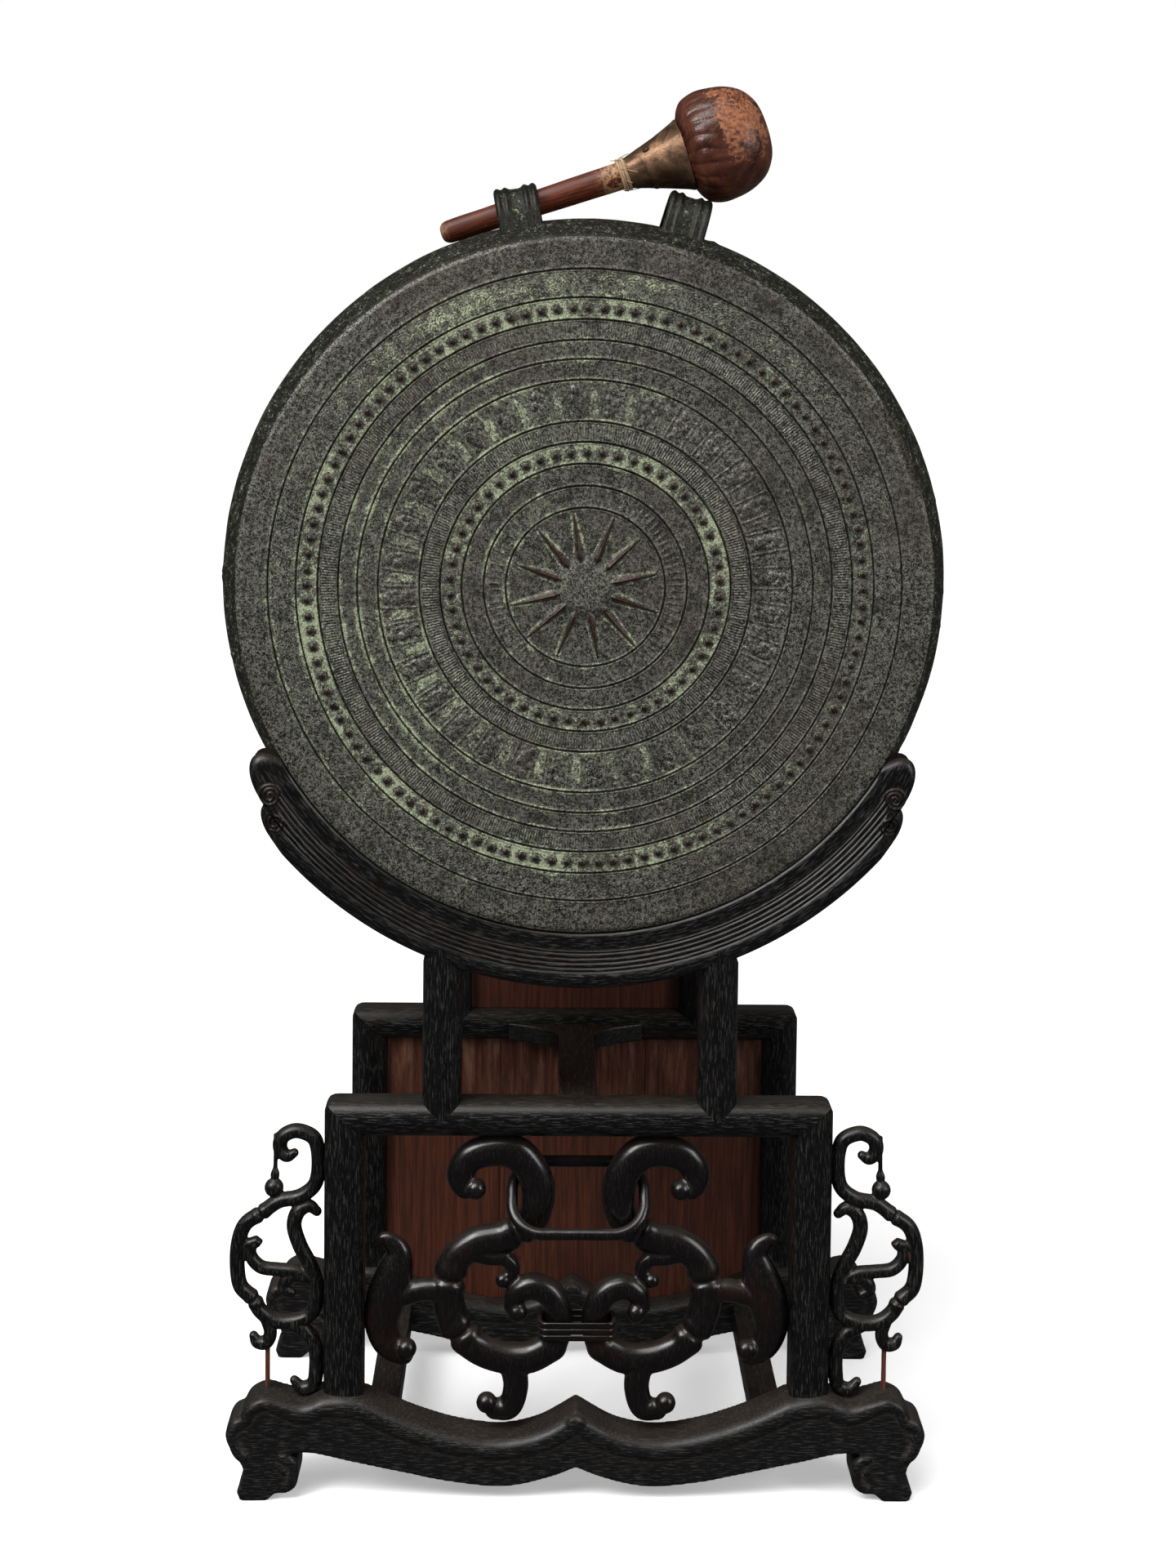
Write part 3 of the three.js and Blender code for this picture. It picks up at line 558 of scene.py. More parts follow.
def plain_wood(name, dark, light, gloss):
    """Bare or polished wood of the pegs and of the beater's stick."""
    look = Look(name)
    body = look.place()
    streaks = look.noise(look.grain(10, 260), 2.6, 6, 0.65, 0.6)
    fine = look.noise(look.grain(30, 1500), 1.0, 4, 0.7)
    worn = look.noise(body, 40, 5, 0.7)
    color = look.mix(look.span(streaks, 0.32, 0.7), dark, light)
    color = look.mix(look.span(fine, 0.46, 0.36), color, shade(dark, 0.35))
    color = look.mix(look.span(worn, 0.56, 0.72, 0, 0.6), color, shade(dark, 0.45))
    scratch = look.span(look.noise(body, 220, 3, 0.6), 0.66, 0.72)
    color = look.mix(scratch * 0.5, color, shade(light, 1.8))
    bare = look.attribute("bare") * look.span(look.noise(body, 260, 4, 0.7), 0.42, 0.56)
    color = look.mix(bare, color, rgb(178, 140, 100))
    fixed = {"Coat_Weight": 0.08, "Specular_IOR_Level": 0.35}
    return look.finish(color, worn * 0.3 + gloss, streaks + fine, 0.35, 0.0003, **fixed)


def bronze(name, low, high, warm):
    """Cast bronze gone dark, with a gritty skin, crusts of pale verdigris and brown worn crests.

    The attribute patina says how thickly verdigris lies, and crest how far the metal is rubbed
    bare: 1 on top of the ornament; below 0 it paints shade, down to -1 in the grooves.
    """
    look = Look(name)
    body = look.place()
    crest = look.attribute("crest")
    broad = look.noise(body, 11, 4, 0.6, 0.3)
    middle = look.noise(body, 170, 5, 0.7, 0.3)
    grit = look.noise(body, 1100, 3, 0.7)
    grain = look.noise(body, 480, 4, 0.8)
    fleck = look.noise(body, 620, 4, 0.85)
    dark = look.mix(look.span(grit + grain, 0.9, 1.15), low, high)
    dark = look.mix(look.span(broad, 0.42, 0.66, 0, 0.35), dark, warm)
    clean = look.span(look.noise(body, 46, 4, 0.6, 0.6), 0.5, 0.66, 0, 0.5)
    dark = look.mix(clean, dark, rgb(30, 28, 27))
    depth = (middle - 0.5) * 1.9 + look.attribute("patina") + (fleck - 0.5) * 3.0
    film, crust = look.span(depth, 0.3, 0.75), look.span(depth, 0.66, 0.86)
    color = look.mix(film * 0.5, dark, look.mix(grain, rgb(44, 50, 38), rgb(94, 104, 80)))
    pale = look.mix(look.span(grit, 0.38, 0.62), rgb(104, 114, 86), rgb(190, 198, 162))
    color = look.mix(crust * 0.8, color, pale)
    brown = look.mix(look.span(grain, 0.35, 0.7), rgb(28, 25, 23), rgb(70, 57, 50))
    color = look.mix(look.span(crest, 0.15, 0.8), color, brown)
    color = look.mix(look.span(crest, 0.85, 1.1, 0, 0.45), color, rgb(88, 60, 50))
    # Painted shade: a crest below 0 darkens the grooves of the ring lines to near black.
    color = look.mix(look.span(crest, -0.2, -0.8, 0, 0.8), color, rgb(26, 29, 20))
    rough = (film * 0.25 + grain * 0.3 + 0.3 - look.span(crest, 0, 0.7) * 0.26).clamped()
    height = grit * 0.5 + grain * 0.8 + film * 0.35
    metal = (film * -0.5 + 0.55).clamped()
    return look.finish(color, rough, height, 0.7, 0.0005, Metallic=metal)


def ferrule_sheet():
    """Tarnished sheet metal with dents, scratches and brighter rubbed places."""
    look = Look("ferrule_metal")
    body = look.place()
    broad = look.noise(body, 60, 5, 0.65, 0.8)
    fine = look.noise(body, 600, 4, 0.7)
    scratch = look.noise(look.place((40, 900, 300)), 2.0, 3, 0.6)
    color = look.mix(look.span(broad, 0.3, 0.7), rgb(78, 60, 45), rgb(150, 116, 90))
    color = look.mix(look.span(fine, 0.55, 0.7, 0, 0.6), color, rgb(46, 38, 28))
    color = look.mix(look.span(scratch, 0.64, 0.7, 0, 0.5), color, rgb(150, 130, 100))
    return look.finish(color, broad * 0.3 + 0.3, broad + fine * 0.2, 0.5, 0.0012, Metallic=0.85)


def nail_iron():
    """Rusted iron of the two nails."""
    look = Look("nail_iron")
    rust = look.noise(look.place(), 900, 4, 0.7)
    color = look.mix(look.span(rust, 0.35, 0.65), rgb(30, 24, 21), rgb(74, 50, 38))
    return look.finish(color, look.span(rust, 0.3, 0.7, 0.35, 0.7), rust, 0.5, 0.0002, Metallic=0.6)


def beater_leather():
    """Dark polished leather, scuffed to tan in a band round the striking side."""
    look = Look("leather")
    body = look.place()
    crackle = look.cells(body, 260, "DISTANCE_TO_EDGE")
    broad = look.noise(body, 34, 6, 0.68, 0.7)
    fine = look.noise(body, 320, 5, 0.75)
    worn = look.span(look.attribute("scuff") + broad * 1.3 + fine * 1.1, 1.54, 1.84)
    color = look.mix(look.span(broad, 0.35, 0.7), rgb(48, 24, 17), rgb(98, 54, 38))
    tan = look.mix(look.span(fine, 0.35, 0.65), rgb(104, 58, 36), rgb(156, 98, 64))
    color = look.mix(worn, color, tan)
    color = look.mix(look.span(crackle, 0.03, 0.0, 0, 0.5), color, rgb(36, 15, 10))
    height = look.cells(body, 900) * 0.4 + worn * -0.5 + look.span(crackle, 0.0, 0.05, 0, 0.5)
    fixed = {"Specular_IOR_Level": 0.35, "Coat_Weight": 0.1, "Coat_Roughness": 0.2}
    return look.finish(color, worn * 0.4 + fine * 0.2 + 0.18, height, 0.35, 0.0005, **fixed)


def fibre(name, dark, light):
    """Straw twine and packed wadding: fine twisted fibres."""
    look = Look(name)
    strands = look.noise(look.grain(60, 900), 2.0, 4, 0.7)
    color = look.mix(look.span(strands, 0.35, 0.65), dark, light)
    color = look.mix(look.span(look.noise(look.place(), 200, 4), 0.55, 0.7, 0, 0.5), color, dark)
    rough = look.span(strands, 0.3, 0.7, 0.7, 0.95)
    return look.finish(color, rough, strands, 0.6, 0.0004, Sheen_Weight=0.3)


def floor_look():
    look = Look("pale_floor")
    cloudy = look.noise(look.place(), 1.5, 3)
    color = look.mix(look.span(cloudy, 0.3, 0.7), (0.95, 0.95, 0.95, 1), (0.97, 0.97, 0.97, 1))
    return look.finish(color, 0.6, Emission_Color=(1, 1, 1, 1), Emission_Strength=0.3)


BLACK = black_wood("ebonised_wood", rgb(6, 6, 6), rgb(40, 22, 16), gloss=0.2)
MATTE = black_wood("base_wood", rgb(12, 11, 11), rgb(38, 27, 22), gloss=0.28, coat=0.08)
CARVED = black_wood("carved_wood", rgb(8, 5, 5), rgb(42, 18, 13), 0.16, 0.35, 0.55, 0.1, 0.12)
PANEL = board_wood()
PEG = plain_wood("peg_wood", rgb(58, 26, 17), rgb(104, 55, 38), 0.45)
STICK = plain_wood("stick_wood", rgb(52, 20, 9), rgb(112, 50, 24), 0.34)
FACE_BRONZE = bronze("face_bronze", rgb(16, 17, 15), rgb(132, 131, 119), rgb(78, 68, 60))
SIDE_BRONZE = bronze("side_bronze", rgb(12, 13, 9), rgb(48, 47, 37), rgb(40, 34, 25))
FERRULE = ferrule_sheet()
NAIL = nail_iron()
LEATHER = beater_leather()
TWINE = fibre("twine", rgb(116, 86, 58), rgb(204, 170, 128))
WADDING = fibre("wadding", rgb(150, 130, 98), rgb(200, 182, 148))


# ---- Camera ----


def make_camera():
    """A long view of the front from a little above the object's middle."""
    distance, lens, height, yaw, down, roll = 1570, 51.4, 818, 1.095, 3.5, 0.65
    data = bpy.data.cameras.new("camera")
    data.sensor_width = 36
    data.lens = lens
    data.shift_y = -0.18
    data.clip_start, data.clip_end = 0.05, 50
    camera = new_object("camera", data)
    camera.location = Vector((-29, FRONT_Y - distance, height)) * MM
    turn = Matrix.Rotation(-yaw * DEG, 4, "Z") @ Matrix.Rotation((90 - down) * DEG, 4, "X")
    camera.rotation_euler = (turn @ Matrix.Rotation(roll * DEG, 4, "Z")).to_euler()
    bpy.context.scene.camera = camera


make_camera()


# ---- Frame members ----

# How deep the rounded front of a member is, the same for all of them.
ROUND_DEPTH = 11


def member_section(half, depth, points=30):
    """Across and depth: a half-elliptic front, flat sides and a flat back with eased corners."""
    turn = np.linspace(180, 360, points) * DEG
    front = np.stack([half * np.cos(turn), ROUND_DEPTH + ROUND_DEPTH * np.sin(turn)], 1)
    ease = 1.2
    back = [
        [half, depth - ease],
        [half - ease, depth],
        [ease - half, depth],
        [-half, depth - ease],
    ]
    return np.vstack([front, back])


def member(node, section, low, high, place):
    """A straight member. low and high give where it ends for each point of its section."""
    name = node + "_wood"
    across, deep = section.T
    start = np.array([low(a, d) for a, d in section])
    end = np.array([high(a, d) for a, d in section])
    rows = max(int((end.max() - start.min()) / 3), 2)
    t = np.linspace(0, 1, rows)[:, None]
    along = start + t * (end - start)
    a = np.broadcast_to(across, along.shape)
    d = np.broadcast_to(deep, along.shape)
    grain = np.stack([along, a + 200 * (len(name) % 7), d], -1)
    uneven = 0.16 * (cloud(grain, 26, len(name)) - 0.5)
    points = place(a, d + np.where(d < ROUND_DEPTH, uneven, 0), along)
    shape = Shape().grid(points, wrap_cols=True, caps=True, grain=grain)
    build(name, shape, "stand", [node], "ebonised_wood", BLACK, crease=50)


def rounded_corner(x, z, radius=8):
    """Pulls points outside the frame's two upper corners onto their arcs."""
    inward = FRAME_HALF - radius
    dx = np.maximum(np.abs(x) - inward, 0)
    dz = np.maximum(z - (RAIL_TOP - radius), 0)
    far = np.hypot(dx, dz)
    both = (dx > 0) & (dz > 0) & (far > radius)
    shrink = np.where(both, radius / np.maximum(far, 1e-6), 1)
    x = np.where(both, np.sign(x) * (inward + dx * shrink), x)
    z = np.where(both, RAIL_TOP - radius + dz * shrink, z)
    return x, z


def make_frame(where, y):
    """The stiles, top rail and posts of the front or the rear frame."""
    rail_half = (RAIL_TOP - RAIL_LOW) / 2
    rail_middle = (RAIL_TOP + RAIL_LOW) / 2
    stile = member_section(MEMBER / 2, DEPTH)
    slant = (RAIL_TOP - RAIL_LOW) / MEMBER
    for side, word in SIDES:
        middle = side * (FRAME_HALF - MEMBER / 2)

        def place(a, d, z, middle=middle):
            x, z = rounded_corner(middle + a, z)
            return np.stack([x, y + d, z], -1)

        def foot(a, d, middle=middle):
            return base_top(abs(middle + a)) - 4

        def mitre(a, d, side=side):
            return RAIL_LOW + (side * a + MEMBER / 2) * slant - 0.15

        member(f"{where}_{word}_stile", stile, foot, mitre, place)

    def rail_place(a, d, along):
        x, z = rounded_corner(along, rail_middle - a)
        return np.stack([x, y + d, z], -1)

    def rail_end(a, d):
        return INNER_HALF + (rail_half - a) / slant - 0.15

    rail = member_section(rail_half, DEPTH)
    member(f"{where}_top_rail", rail, lambda a, d: -rail_end(a, d), rail_end, rail_place)

    post = member_section(POST_HALF, DEPTH)
    for side, word in SIDES:

        def post_place(a, d, z, side=side):
            return np.stack([side * POST_X + a, y + d, z], -1)

        def post_foot(a, d):
            if d > ROUND_DEPTH + 0.5:
                return RAIL_TOP - 1
            return RAIL_TOP - rail_half * (1 - abs(a) / POST_HALF)

        def post_head(a, d):
            if d > ROUND_DEPTH + 0.5:
                return POST_TOP - 12
            return POST_TOP - 12 * abs(a) / POST_HALF

        member(f"{where}_{word}_post", post, post_foot, post_head, post_place)


# ---- Base boards ----


def base_edges():
    """The right half of a base board's outline, in six runs of X and Z."""
    under = spline(
        [[0, 25], [18, 18], [50, 11], [89, 14], [124, 21], [160, 28.5], [194, 35.5], [208, 34]], 90
    )
    foot = spline([[210, 31], [201, 29], [199.5, 21], [201, 11], [207, 6], [214, 5.5]], 34)
    pad = np.array([[217, 4.6], [221.4, 0.6], [223, 0], [240, 0], [241.5, 0.6], [243, 4.5]])
    end = spline(
        [[244, 6.5], [240, 13], [239.5, 24], [249, 38], [252, 50], [247.5, 59], [241, 62]], 46
    )
    top = spline(
        [[241, 63], [236, 71], [225, 76], [212, 73], [197, 70], [184, 75], [168, 76], [152, 73]], 60
    )
    sag = spline([[152, 73], [124, 60], [90, 49], [56, 44.5], [28, 50], [0, 65.5]], 80)
    return under, foot, pad, end, top, sag


def base_top(x):
    """Height of a base board's upper edge."""
    *_, top, sag = base_edges()
    edge = np.vstack([sag[::-1], top[::-1]])
    return float(np.interp(x, edge[:, 0], edge[:, 1]))


# Curls at the end lobe, round the foot and beside it: X and Z, points of the curve and of the
# line, half-widths at its ends, fullness, and depth behind the board's front.
BASE_CURLS = (
    ([[243, 47], [246, 40], [241, 31], [235.5, 33], [238, 38.5]], 60, 40, (3.8, 2.0), 0.8, 4.4),
    ([[211, 31.5], [204.5, 28], [203.4, 20], [205.5, 12.5], [211, 9.5]], 60, 40, (3.8, 3), 1, 4.2),
    ([[217, 25.5], [213, 25.6], [210.2, 22]], 40, 20, (1.6, 2.8), 1.0, 3.4),
)


def make_base(where, y, seed):
    """A base board whose upper front edge is a carved roll, curling round the end lobes."""
    under, foot, pad, end, top, sag = base_edges()
    setback = 2.4  # of the board's plain front behind its roll
    edge = np.vstack([end[18:], top[1:], sag[1:]])
    t = tangents(edge)
    size = 8.5 - 3.7 * smooth(edge[:, 0], 188, 222)
    inner = edge + np.stack([-t[:, 1], t[:, 0]], 1) * size[:, None]
    kept = inner[:, 0] > 0.6
    inner, size = inner[kept], size[kept]
    shape = Shape()
    lowered = np.vstack([inner, [0, inner[-1, 1]]])
    for upper, near, far in ((edge, 8.0, BASE_DEPTH), (lowered, setback, 12.0)):
        right = np.vstack([under, foot, pad, end[:18], upper])
        left = right[1:-1][::-1] * [-1, 1]
        outline = np.vstack([right, left])
        rim = [
            np.stack([outline[:, 0], np.full(len(outline), y + deep), outline[:, 1]], 1)
            for deep in (near, far)
        ]
        shape.grid(np.array(rim), wrap_cols=True, caps=True)
    roll = Shape()
    line = evenly(np.column_stack([inner, size]), 230)
    radius = line[:, 2] * (0.55 + 0.45 * smooth(np.linspace(0, 1, 230), 0, 0.05))
    roll.grid(tube(line[:, :2], radius, 28, 1.0, y, 1.0), wrap_cols=True, caps=True)
    for path, fine, count, ends, fullness, deep in BASE_CURLS:
        curl = evenly(spline(path, fine), count)
        widths = np.linspace(*ends, count)
        roll.grid(tube(curl, widths, 14, fullness, y + deep), wrap_cols=True, caps=True)
    roll.mirror()
    points, faces, _ = roll.arrays()
    shape.add(points, faces)
    name = f"{where}_base_wood"
    mesh = merged(name, shape, 1.15, smoothing=3)
    points = mesh_points(mesh)
    grain = points[:, [0, 2, 1]] + [0, 40 * seed, 0]
    dent = 0.5 * (cloud(points, 18, 41 + seed) - 0.5)
    points = points - read_vectors(mesh, "normal") * dent[:, None]
    points[:, 1] = np.clip(points[:, 1], y, y + BASE_DEPTH)
    points[:, 2] = np.maximum(points[:, 2], 0)
    move_points(mesh, points)
    set_attribute(mesh, "grain", grain * MM)
    piece(name, mesh, "stand", [f"{where}_base_board"], "ebonised_wood", MATTE, crease=0)


# ---- Cradles ----


def horn_tip(r, inner):
    """Degrees below the horizontal at which a cradle's end meets the radius r: two round lobes."""
    notch = CRADLE_R - 12
    top = inner + 0.52 * (notch - inner)
    inward = 27.6 + 2.4 * np.clip((top - r) / (top - inner), 0, 1) ** 2
    outward = 4.9 * (1 - dome(np.clip((r - top) / (notch - top), 0, 1)))
    lower = 34.7 + 5.3 * (1 - dome(np.clip((r - notch) / (CRADLE_R - notch), 0, 1)))
    return np.where(r < notch, inward + outward, lower)


# The volutes on each horn: degrees below the horizontal, radius and size.
VOLUTES = ((34.0, 267.5, 8.6), (37.7, 276.2, 7.8))


def cradle_relief(r, below, inner):
    """How far the moulded front stands behind the cradle's foremost plane."""
    out = CRADLE_R - r
    roll = 5.5 - 5.5 * dome((out - 6.5) / 7)
    beads = 2.2 - 1.1 * np.abs(np.cos(math.pi * (out - 13) / 3.5))
    flat = 1.6 + 1.2 * smooth(r, inner + 1.6, inner)
    moulded = np.where(out < 13, roll, np.where(out < 13 + 3.5 * 4, beads, flat))
    tip = horn_tip(r, inner)
    plain = 1.2 + 5 * (1 - dome((r - (inner + CRADLE_R - 11) / 2) / 20))
    volutes = 0
    for angle, radius, size in VOLUTES:
        along = (below - angle) * DEG * radius
        away = np.hypot(along, r - radius)
        turn = np.arctan2(r - radius, along)
        spiral = 1.6 * np.clip(0.2 + np.cos(2 * math.pi * away / 3.1 - turn), 0, 1)
        volutes = volutes + smooth(away, size, size - 1.0) * spiral
    begin = np.interp(r, [inner, 264, 276, CRADLE_R], [31, 33.5, 37, 40])
    mouldings = smooth(below, begin, begin + 2.5)
    front = plain * (1 - mouldings) + moulded * mouldings - volutes
    near = np.clip(1 - (below - tip) * DEG * r / 9, 0, 1)
    return front + 7 * (1 - dome(near))


def make_cradle(where, y, inner, seat_slope):
    """A crescent with a beaded front, a hollow seat for the drum and two volutes at each horn."""
    r = [np.linspace(inner, inner + 4, 6), np.linspace(inner + 4.6, CRADLE_R - 1, 84)]
    r = np.concatenate([*r, [CRADLE_R - 0.4, CRADLE_R]])
    s = np.linspace(-1, 1, 860)[:, None]
    eased = np.sign(s) * (1 - (1 - np.abs(s)) ** 1.5)
    tip = horn_tip(r, inner)[None, :]
    angle = 90 + eased * (90 - tip)
    below = np.where(angle > 90, 180 - angle, angle)
    radius = np.broadcast_to(r, angle.shape)
    relief = np.clip(cradle_relief(radius, below, inner), 0.15, 9)
    x = -radius * np.cos(angle * DEG)
    z = DRUM_Z - radius * np.sin(angle * DEG)
    front = np.stack([x, y + relief, z], -1)
    back_r = np.concatenate([r[::-1][:1] - 0.4, r[::-1][1::8], [inner + seat_slope]])
    back_r = np.maximum(back_r, inner + seat_slope)
    back_angle = 90 + eased * (90 - horn_tip(np.maximum(back_r, inner), inner)[None, :])
    back_radius = np.broadcast_to(back_r, back_angle.shape)
    back = np.stack(
        [
            -back_radius * np.cos(back_angle * DEG),
            np.full(back_angle.shape, y + CRADLE_DEPTH),
            DRUM_Z - back_radius * np.sin(back_angle * DEG),
        ],
        -1,
    )
    points = np.concatenate([front, back], 1)
    turn = np.concatenate([angle, back_angle], 1)
    far = np.concatenate([radius, back_radius], 1)
    grain = np.stack([turn * DEG * far, far, points[..., 1]], -1)
    shape = Shape().grid(points, wrap_cols=True, caps=True, grain=grain)
    name = f"{where}_cradle"
    build(name + "_wood", shape, "stand", [name], "ebonised_wood", BLACK, crease=55)


# ---- Carving ----

# Strokes are X outwards from the middle or the stile, Z, and half-width; cusps are X and Z.
SCROLL_HOOK = [
    [72, 225, 5], [81, 222, 7.5], [85.5, 232, 10], [79, 245, 11], [63, 251, 12],
    [46.5, 249.5, 12.5], [35, 239, 12.2], [29, 223, 12.2], [30, 209, 11.6], [35, 197, 11],
    [54, 187, 11.4], [73, 182.5, 11.6], [87, 172, 11.6], [93, 157, 11.8], [93, 137, 11.8],
    [87, 120, 11.6], [73, 105, 11.4], [54, 97.5, 11.4], [35, 97.5, 11.6], [18, 106, 11.2],
]
SCROLL_STROKES = [
    (SCROLL_HOOK, 0.84, [(44, 191), (93, 156), (84, 116)]),
    ([[18, 106, 11], [13.2, 118, 9.6], [13.6, 133, 10], [20, 145, 10], [33, 150.5, 9.8],
      [44, 145, 8.6], [47.5, 136, 6]], 1.0, []),
    ([[149, 179, 1.8], [140, 185, 5.4], [130.5, 177, 9], [132.5, 160, 13.6], [138.5, 141, 14.6],
      [141.5, 122, 12.6], [136, 106, 10.2], [126, 99.5, 7.8]], 0.78, []),
    ([[46, 92, 9.6], [44, 75, 9.2], [49, 60.5, 8.8], [59, 59, 7.6]], 1.0, []),
    ([[92, 148, 8.5], [111, 148, 8.5], [130, 143, 8.5]], 1.0, []),
    ([[73, 176, 8], [63, 172, 6.4], [53, 171, 5.8], [46.5, 164, 5.2], [50, 157, 5]], 1.0, []),
]
SCROLL_BALLS = [(123.5, 105, 7.6), (65, 65, 7.6), (74, 223, 7.6), (43, 132, 7.2), (54, 155.5, 5.6)]
WING_FULLNESS = 1.1
WING_STROKES = [
    [[22, 249, 3], [27, 246.5, 4], [32, 252, 4.8], [31, 260, 4.9], [23, 265, 4.9], [16, 264.5, 4.9],
     [8, 260, 4.9], [5, 251, 4.9], [5, 233, 4.9], [8, 224.5, 4.9], [18, 217, 4.9], [33, 213.5, 4.9],
     [45, 205, 5], [57, 196.5, 5], [62, 183, 5], [62.5, 160, 5], [60, 150, 5], [51, 141, 5],
     [46.5, 133, 5], [37.5, 126, 5], [24.5, 124.5, 5], [10, 130, 5], [5.5, 140, 4.9],
     [5.2, 152, 4.6], [9.5, 165, 4.8], [18, 181.5, 5], [22, 196.5, 5], [18.5, 206.5, 5],
     [11, 210, 4.2], [5.5, 206, 3.2]],
    [[58, 181, 3.4], [48, 184, 3.6], [52.5, 180.5, 3.8], [53, 173, 4.2], [46, 165, 4.4],
     [33, 163, 4.4], [19.5, 161.5, 4.4], [10, 156, 4]],
    [[12, 157, 4], [22, 158.3, 4.2], [28.5, 154, 4.2], [29.3, 149, 4], [24, 146, 3.6]],
    [[42.5, 128, 4], [38.8, 116, 4.4], [42, 109, 4.6], [48.4, 109.5, 4.2], [51, 114, 3]],
    [[24.4, 124, 5], [12.8, 117, 5], [6.4, 105.5, 5], [5.6, 89, 5], [8, 78, 4.8], [16, 75.5, 4.4],
     [21.5, 81, 3]],
]


def carved_piece(node, shape, side, voxel, slot, material, limit):
    """Melts strokes into one carving, mirrors it to its side and keeps it within its space."""
    name = node + "_carving"
    mesh = merged(name, shape, voxel)
    points = limit(mesh_points(mesh))
    points[:, 0] *= side
    move_points(mesh, points)
    if side < 0:
        mesh.flip_normals()
    set_attribute(mesh, "grain", points[:, [2, 0, 1]] * MM)
    piece(name, mesh, "stand", [node], slot, material, crease=0)


def make_scrolls():
    """The two scrolls between the front stiles, each with its strokes and round bosses."""
    shape = Shape()
    for points, fullness, cusps in SCROLL_STROKES:
        add_stroke(shape, points, CARVING_Y, fullness=fullness, cusps=cusps)
    for x, z, r in SCROLL_BALLS:
        add_ball(shape, x, z, r, CARVING_Y - 0.35 * r)

    def limit(points):
        points[:, 0] = np.clip(points[:, 0], 0.15, INNER_HALF - 0.3)
        points[:, 2] = np.minimum(points[:, 2], RAIL_LOW - 0.3)
        return points

    for side, word in SIDES:
        carved_piece(f"{word}_scroll", shape, side, 1.25, "carved_wood", CARVED, limit)


def make_binding():
    """Three flat bands bound round the two scrolls where they meet."""
    low, high = cad("scroll_binding")
    shape = Shape()
    half = (high[0] - low[0]) / 2
    deep = (high[1] - low[1]) / 2
    middle_y = (high[1] + low[1]) / 2
    tall = (high[2] - low[2]) / 3
    path = rounded_loop(half - 2.2, deep - 1.6, 7.0, 9)
    out = path / np.linalg.norm(path, axis=1)[:, None]
    swell, rise = 2.1 * np.cos(turns(16)), 0.47 * tall * np.sin(turns(16))
    x = path[:, :1] + out[:, :1] * swell
    y = middle_y + path[:, 1:] + out[:, 1:] * np.minimum(swell, 1.5)
    for k in range(3):
        z = low[2] + tall * (k + 0.5) + rise
        shape.grid(np.stack(np.broadcast_arrays(x, y, z), -1), wrap_rows=True, wrap_cols=True)
    build("scroll_binding_bands", shape, "stand", ["scroll_binding"], "carved_wood", CARVED)


def make_wings():
    """The openwork wings outside the front stiles, each with a pendant."""
    shape = Shape()
    for k, stroke in enumerate(WING_STROKES):
        points = [[x, z, WING_FULLNESS * r] for x, z, r in stroke]
        add_stroke(shape, points, WING_Y, 0.8, 16, 1.15, [] if k else [(46, 204), (51, 141)])
    add_stroke(shape, [[35.5, 262, 1.6], [35.5, 246, 1.6], [35.6, 238, 1.8]], WING_Y, 1.0, 12)
    add_stroke(shape, [[35.6, 239, 1.4], [35.8, 233, 3.4], [36.4, 228, 2.2]], WING_Y, 0.8, 14)
    add_ball(shape, 36.5, 223.5, 7, WING_Y)

    def limit(points):
        points = points + [FRAME_HALF, 0, 0]
        points[:, 0] = np.maximum(points[:, 0], FRAME_HALF + 0.3)
        return points

    for side, word in SIDES:
        carved_piece(f"{word}_wing", shape, side, 0.8, "ebonised_wood", BLACK, limit)


def make_pegs():
    """Thin bare pegs that hold the wings on the base."""
    for word in ("left", "right"):
        for kind in ("wing_peg", "wing_foot_peg"):
            name = f"{word}_{kind}"
            low, high = cad(name)
            x, y = (low[:2] + high[:2]) / 2
            r = (high[0] - low[0]) / 2
            z = np.linspace(low[2], high[2], 24)
            wobble = r * (0.97 - 0.1 * value_noise(np.stack([z, z, z], 1), 6, len(name)))
            across, deep = wobble[:, None] * np.sin(turns(20)), wobble[:, None] * np.cos(turns(20))
            points = np.stack([x + across, y + deep, z[:, None] * np.ones(20)], -1)
            grain = points[..., [2, 0, 1]]
            shape = Shape().grid(points, wrap_cols=True, caps=True, grain=grain)
            build(name + "_wood", shape, "stand", [name], "peg_wood", PEG)


def make_ring():
    """The loose ring: an oblong loop of round bar, a little uneven from the knife."""
    low, high = cad("loose_ring")
    bar = 4.4
    width = high[0] - low[0] - 2 * bar
    run, rise = high[1] - low[1] - 2 * bar, high[2] - low[2] - 2 * bar
    length = math.hypot(run, rise)
    lean = np.array([0, run, rise]) / length
    middle = (low + high) / 2
    path = rounded_loop(width / 2, length / 2, 23, 17)
    path = evenly(np.vstack([path, path[:1]]), 181)[:-1]
    t = np.roll(path, -1, 0) - np.roll(path, 1, 0)
    t /= np.linalg.norm(t, axis=1)[:, None]
    out = np.stack([t[:, 1], -t[:, 0]], 1)
    side = np.cross([1, 0, 0], lean)
    spin, r = turns(24), bar * 0.985
    rows = []
    for p, n in zip(path, out):
        flat = p + n * (r * np.cos(spin))[:, None]
        level = flat[:, :1] * [1, 0, 0] + flat[:, 1:] * lean
        rows.append(middle + level + side * (r * np.sin(spin))[:, None])
    points = np.array(rows)
    from_bar = points - np.mean(points, 1)[:, None]
    points = points - 0.35 * (cloud(points, 9, 77) - 0.2)[..., None] * from_bar / bar
    along = np.arange(len(rows))[:, None] * np.ones(24) * 1.7
    grain = np.stack([along, points[..., 0], points[..., 1]], -1)
    shape = Shape().grid(points, wrap_rows=True, wrap_cols=True, grain=grain)
    build("loose_ring_bar", shape, "ring", ["loose_ring"], "carved_wood", CARVED)


# ---- Panels, runners and stretcher ----


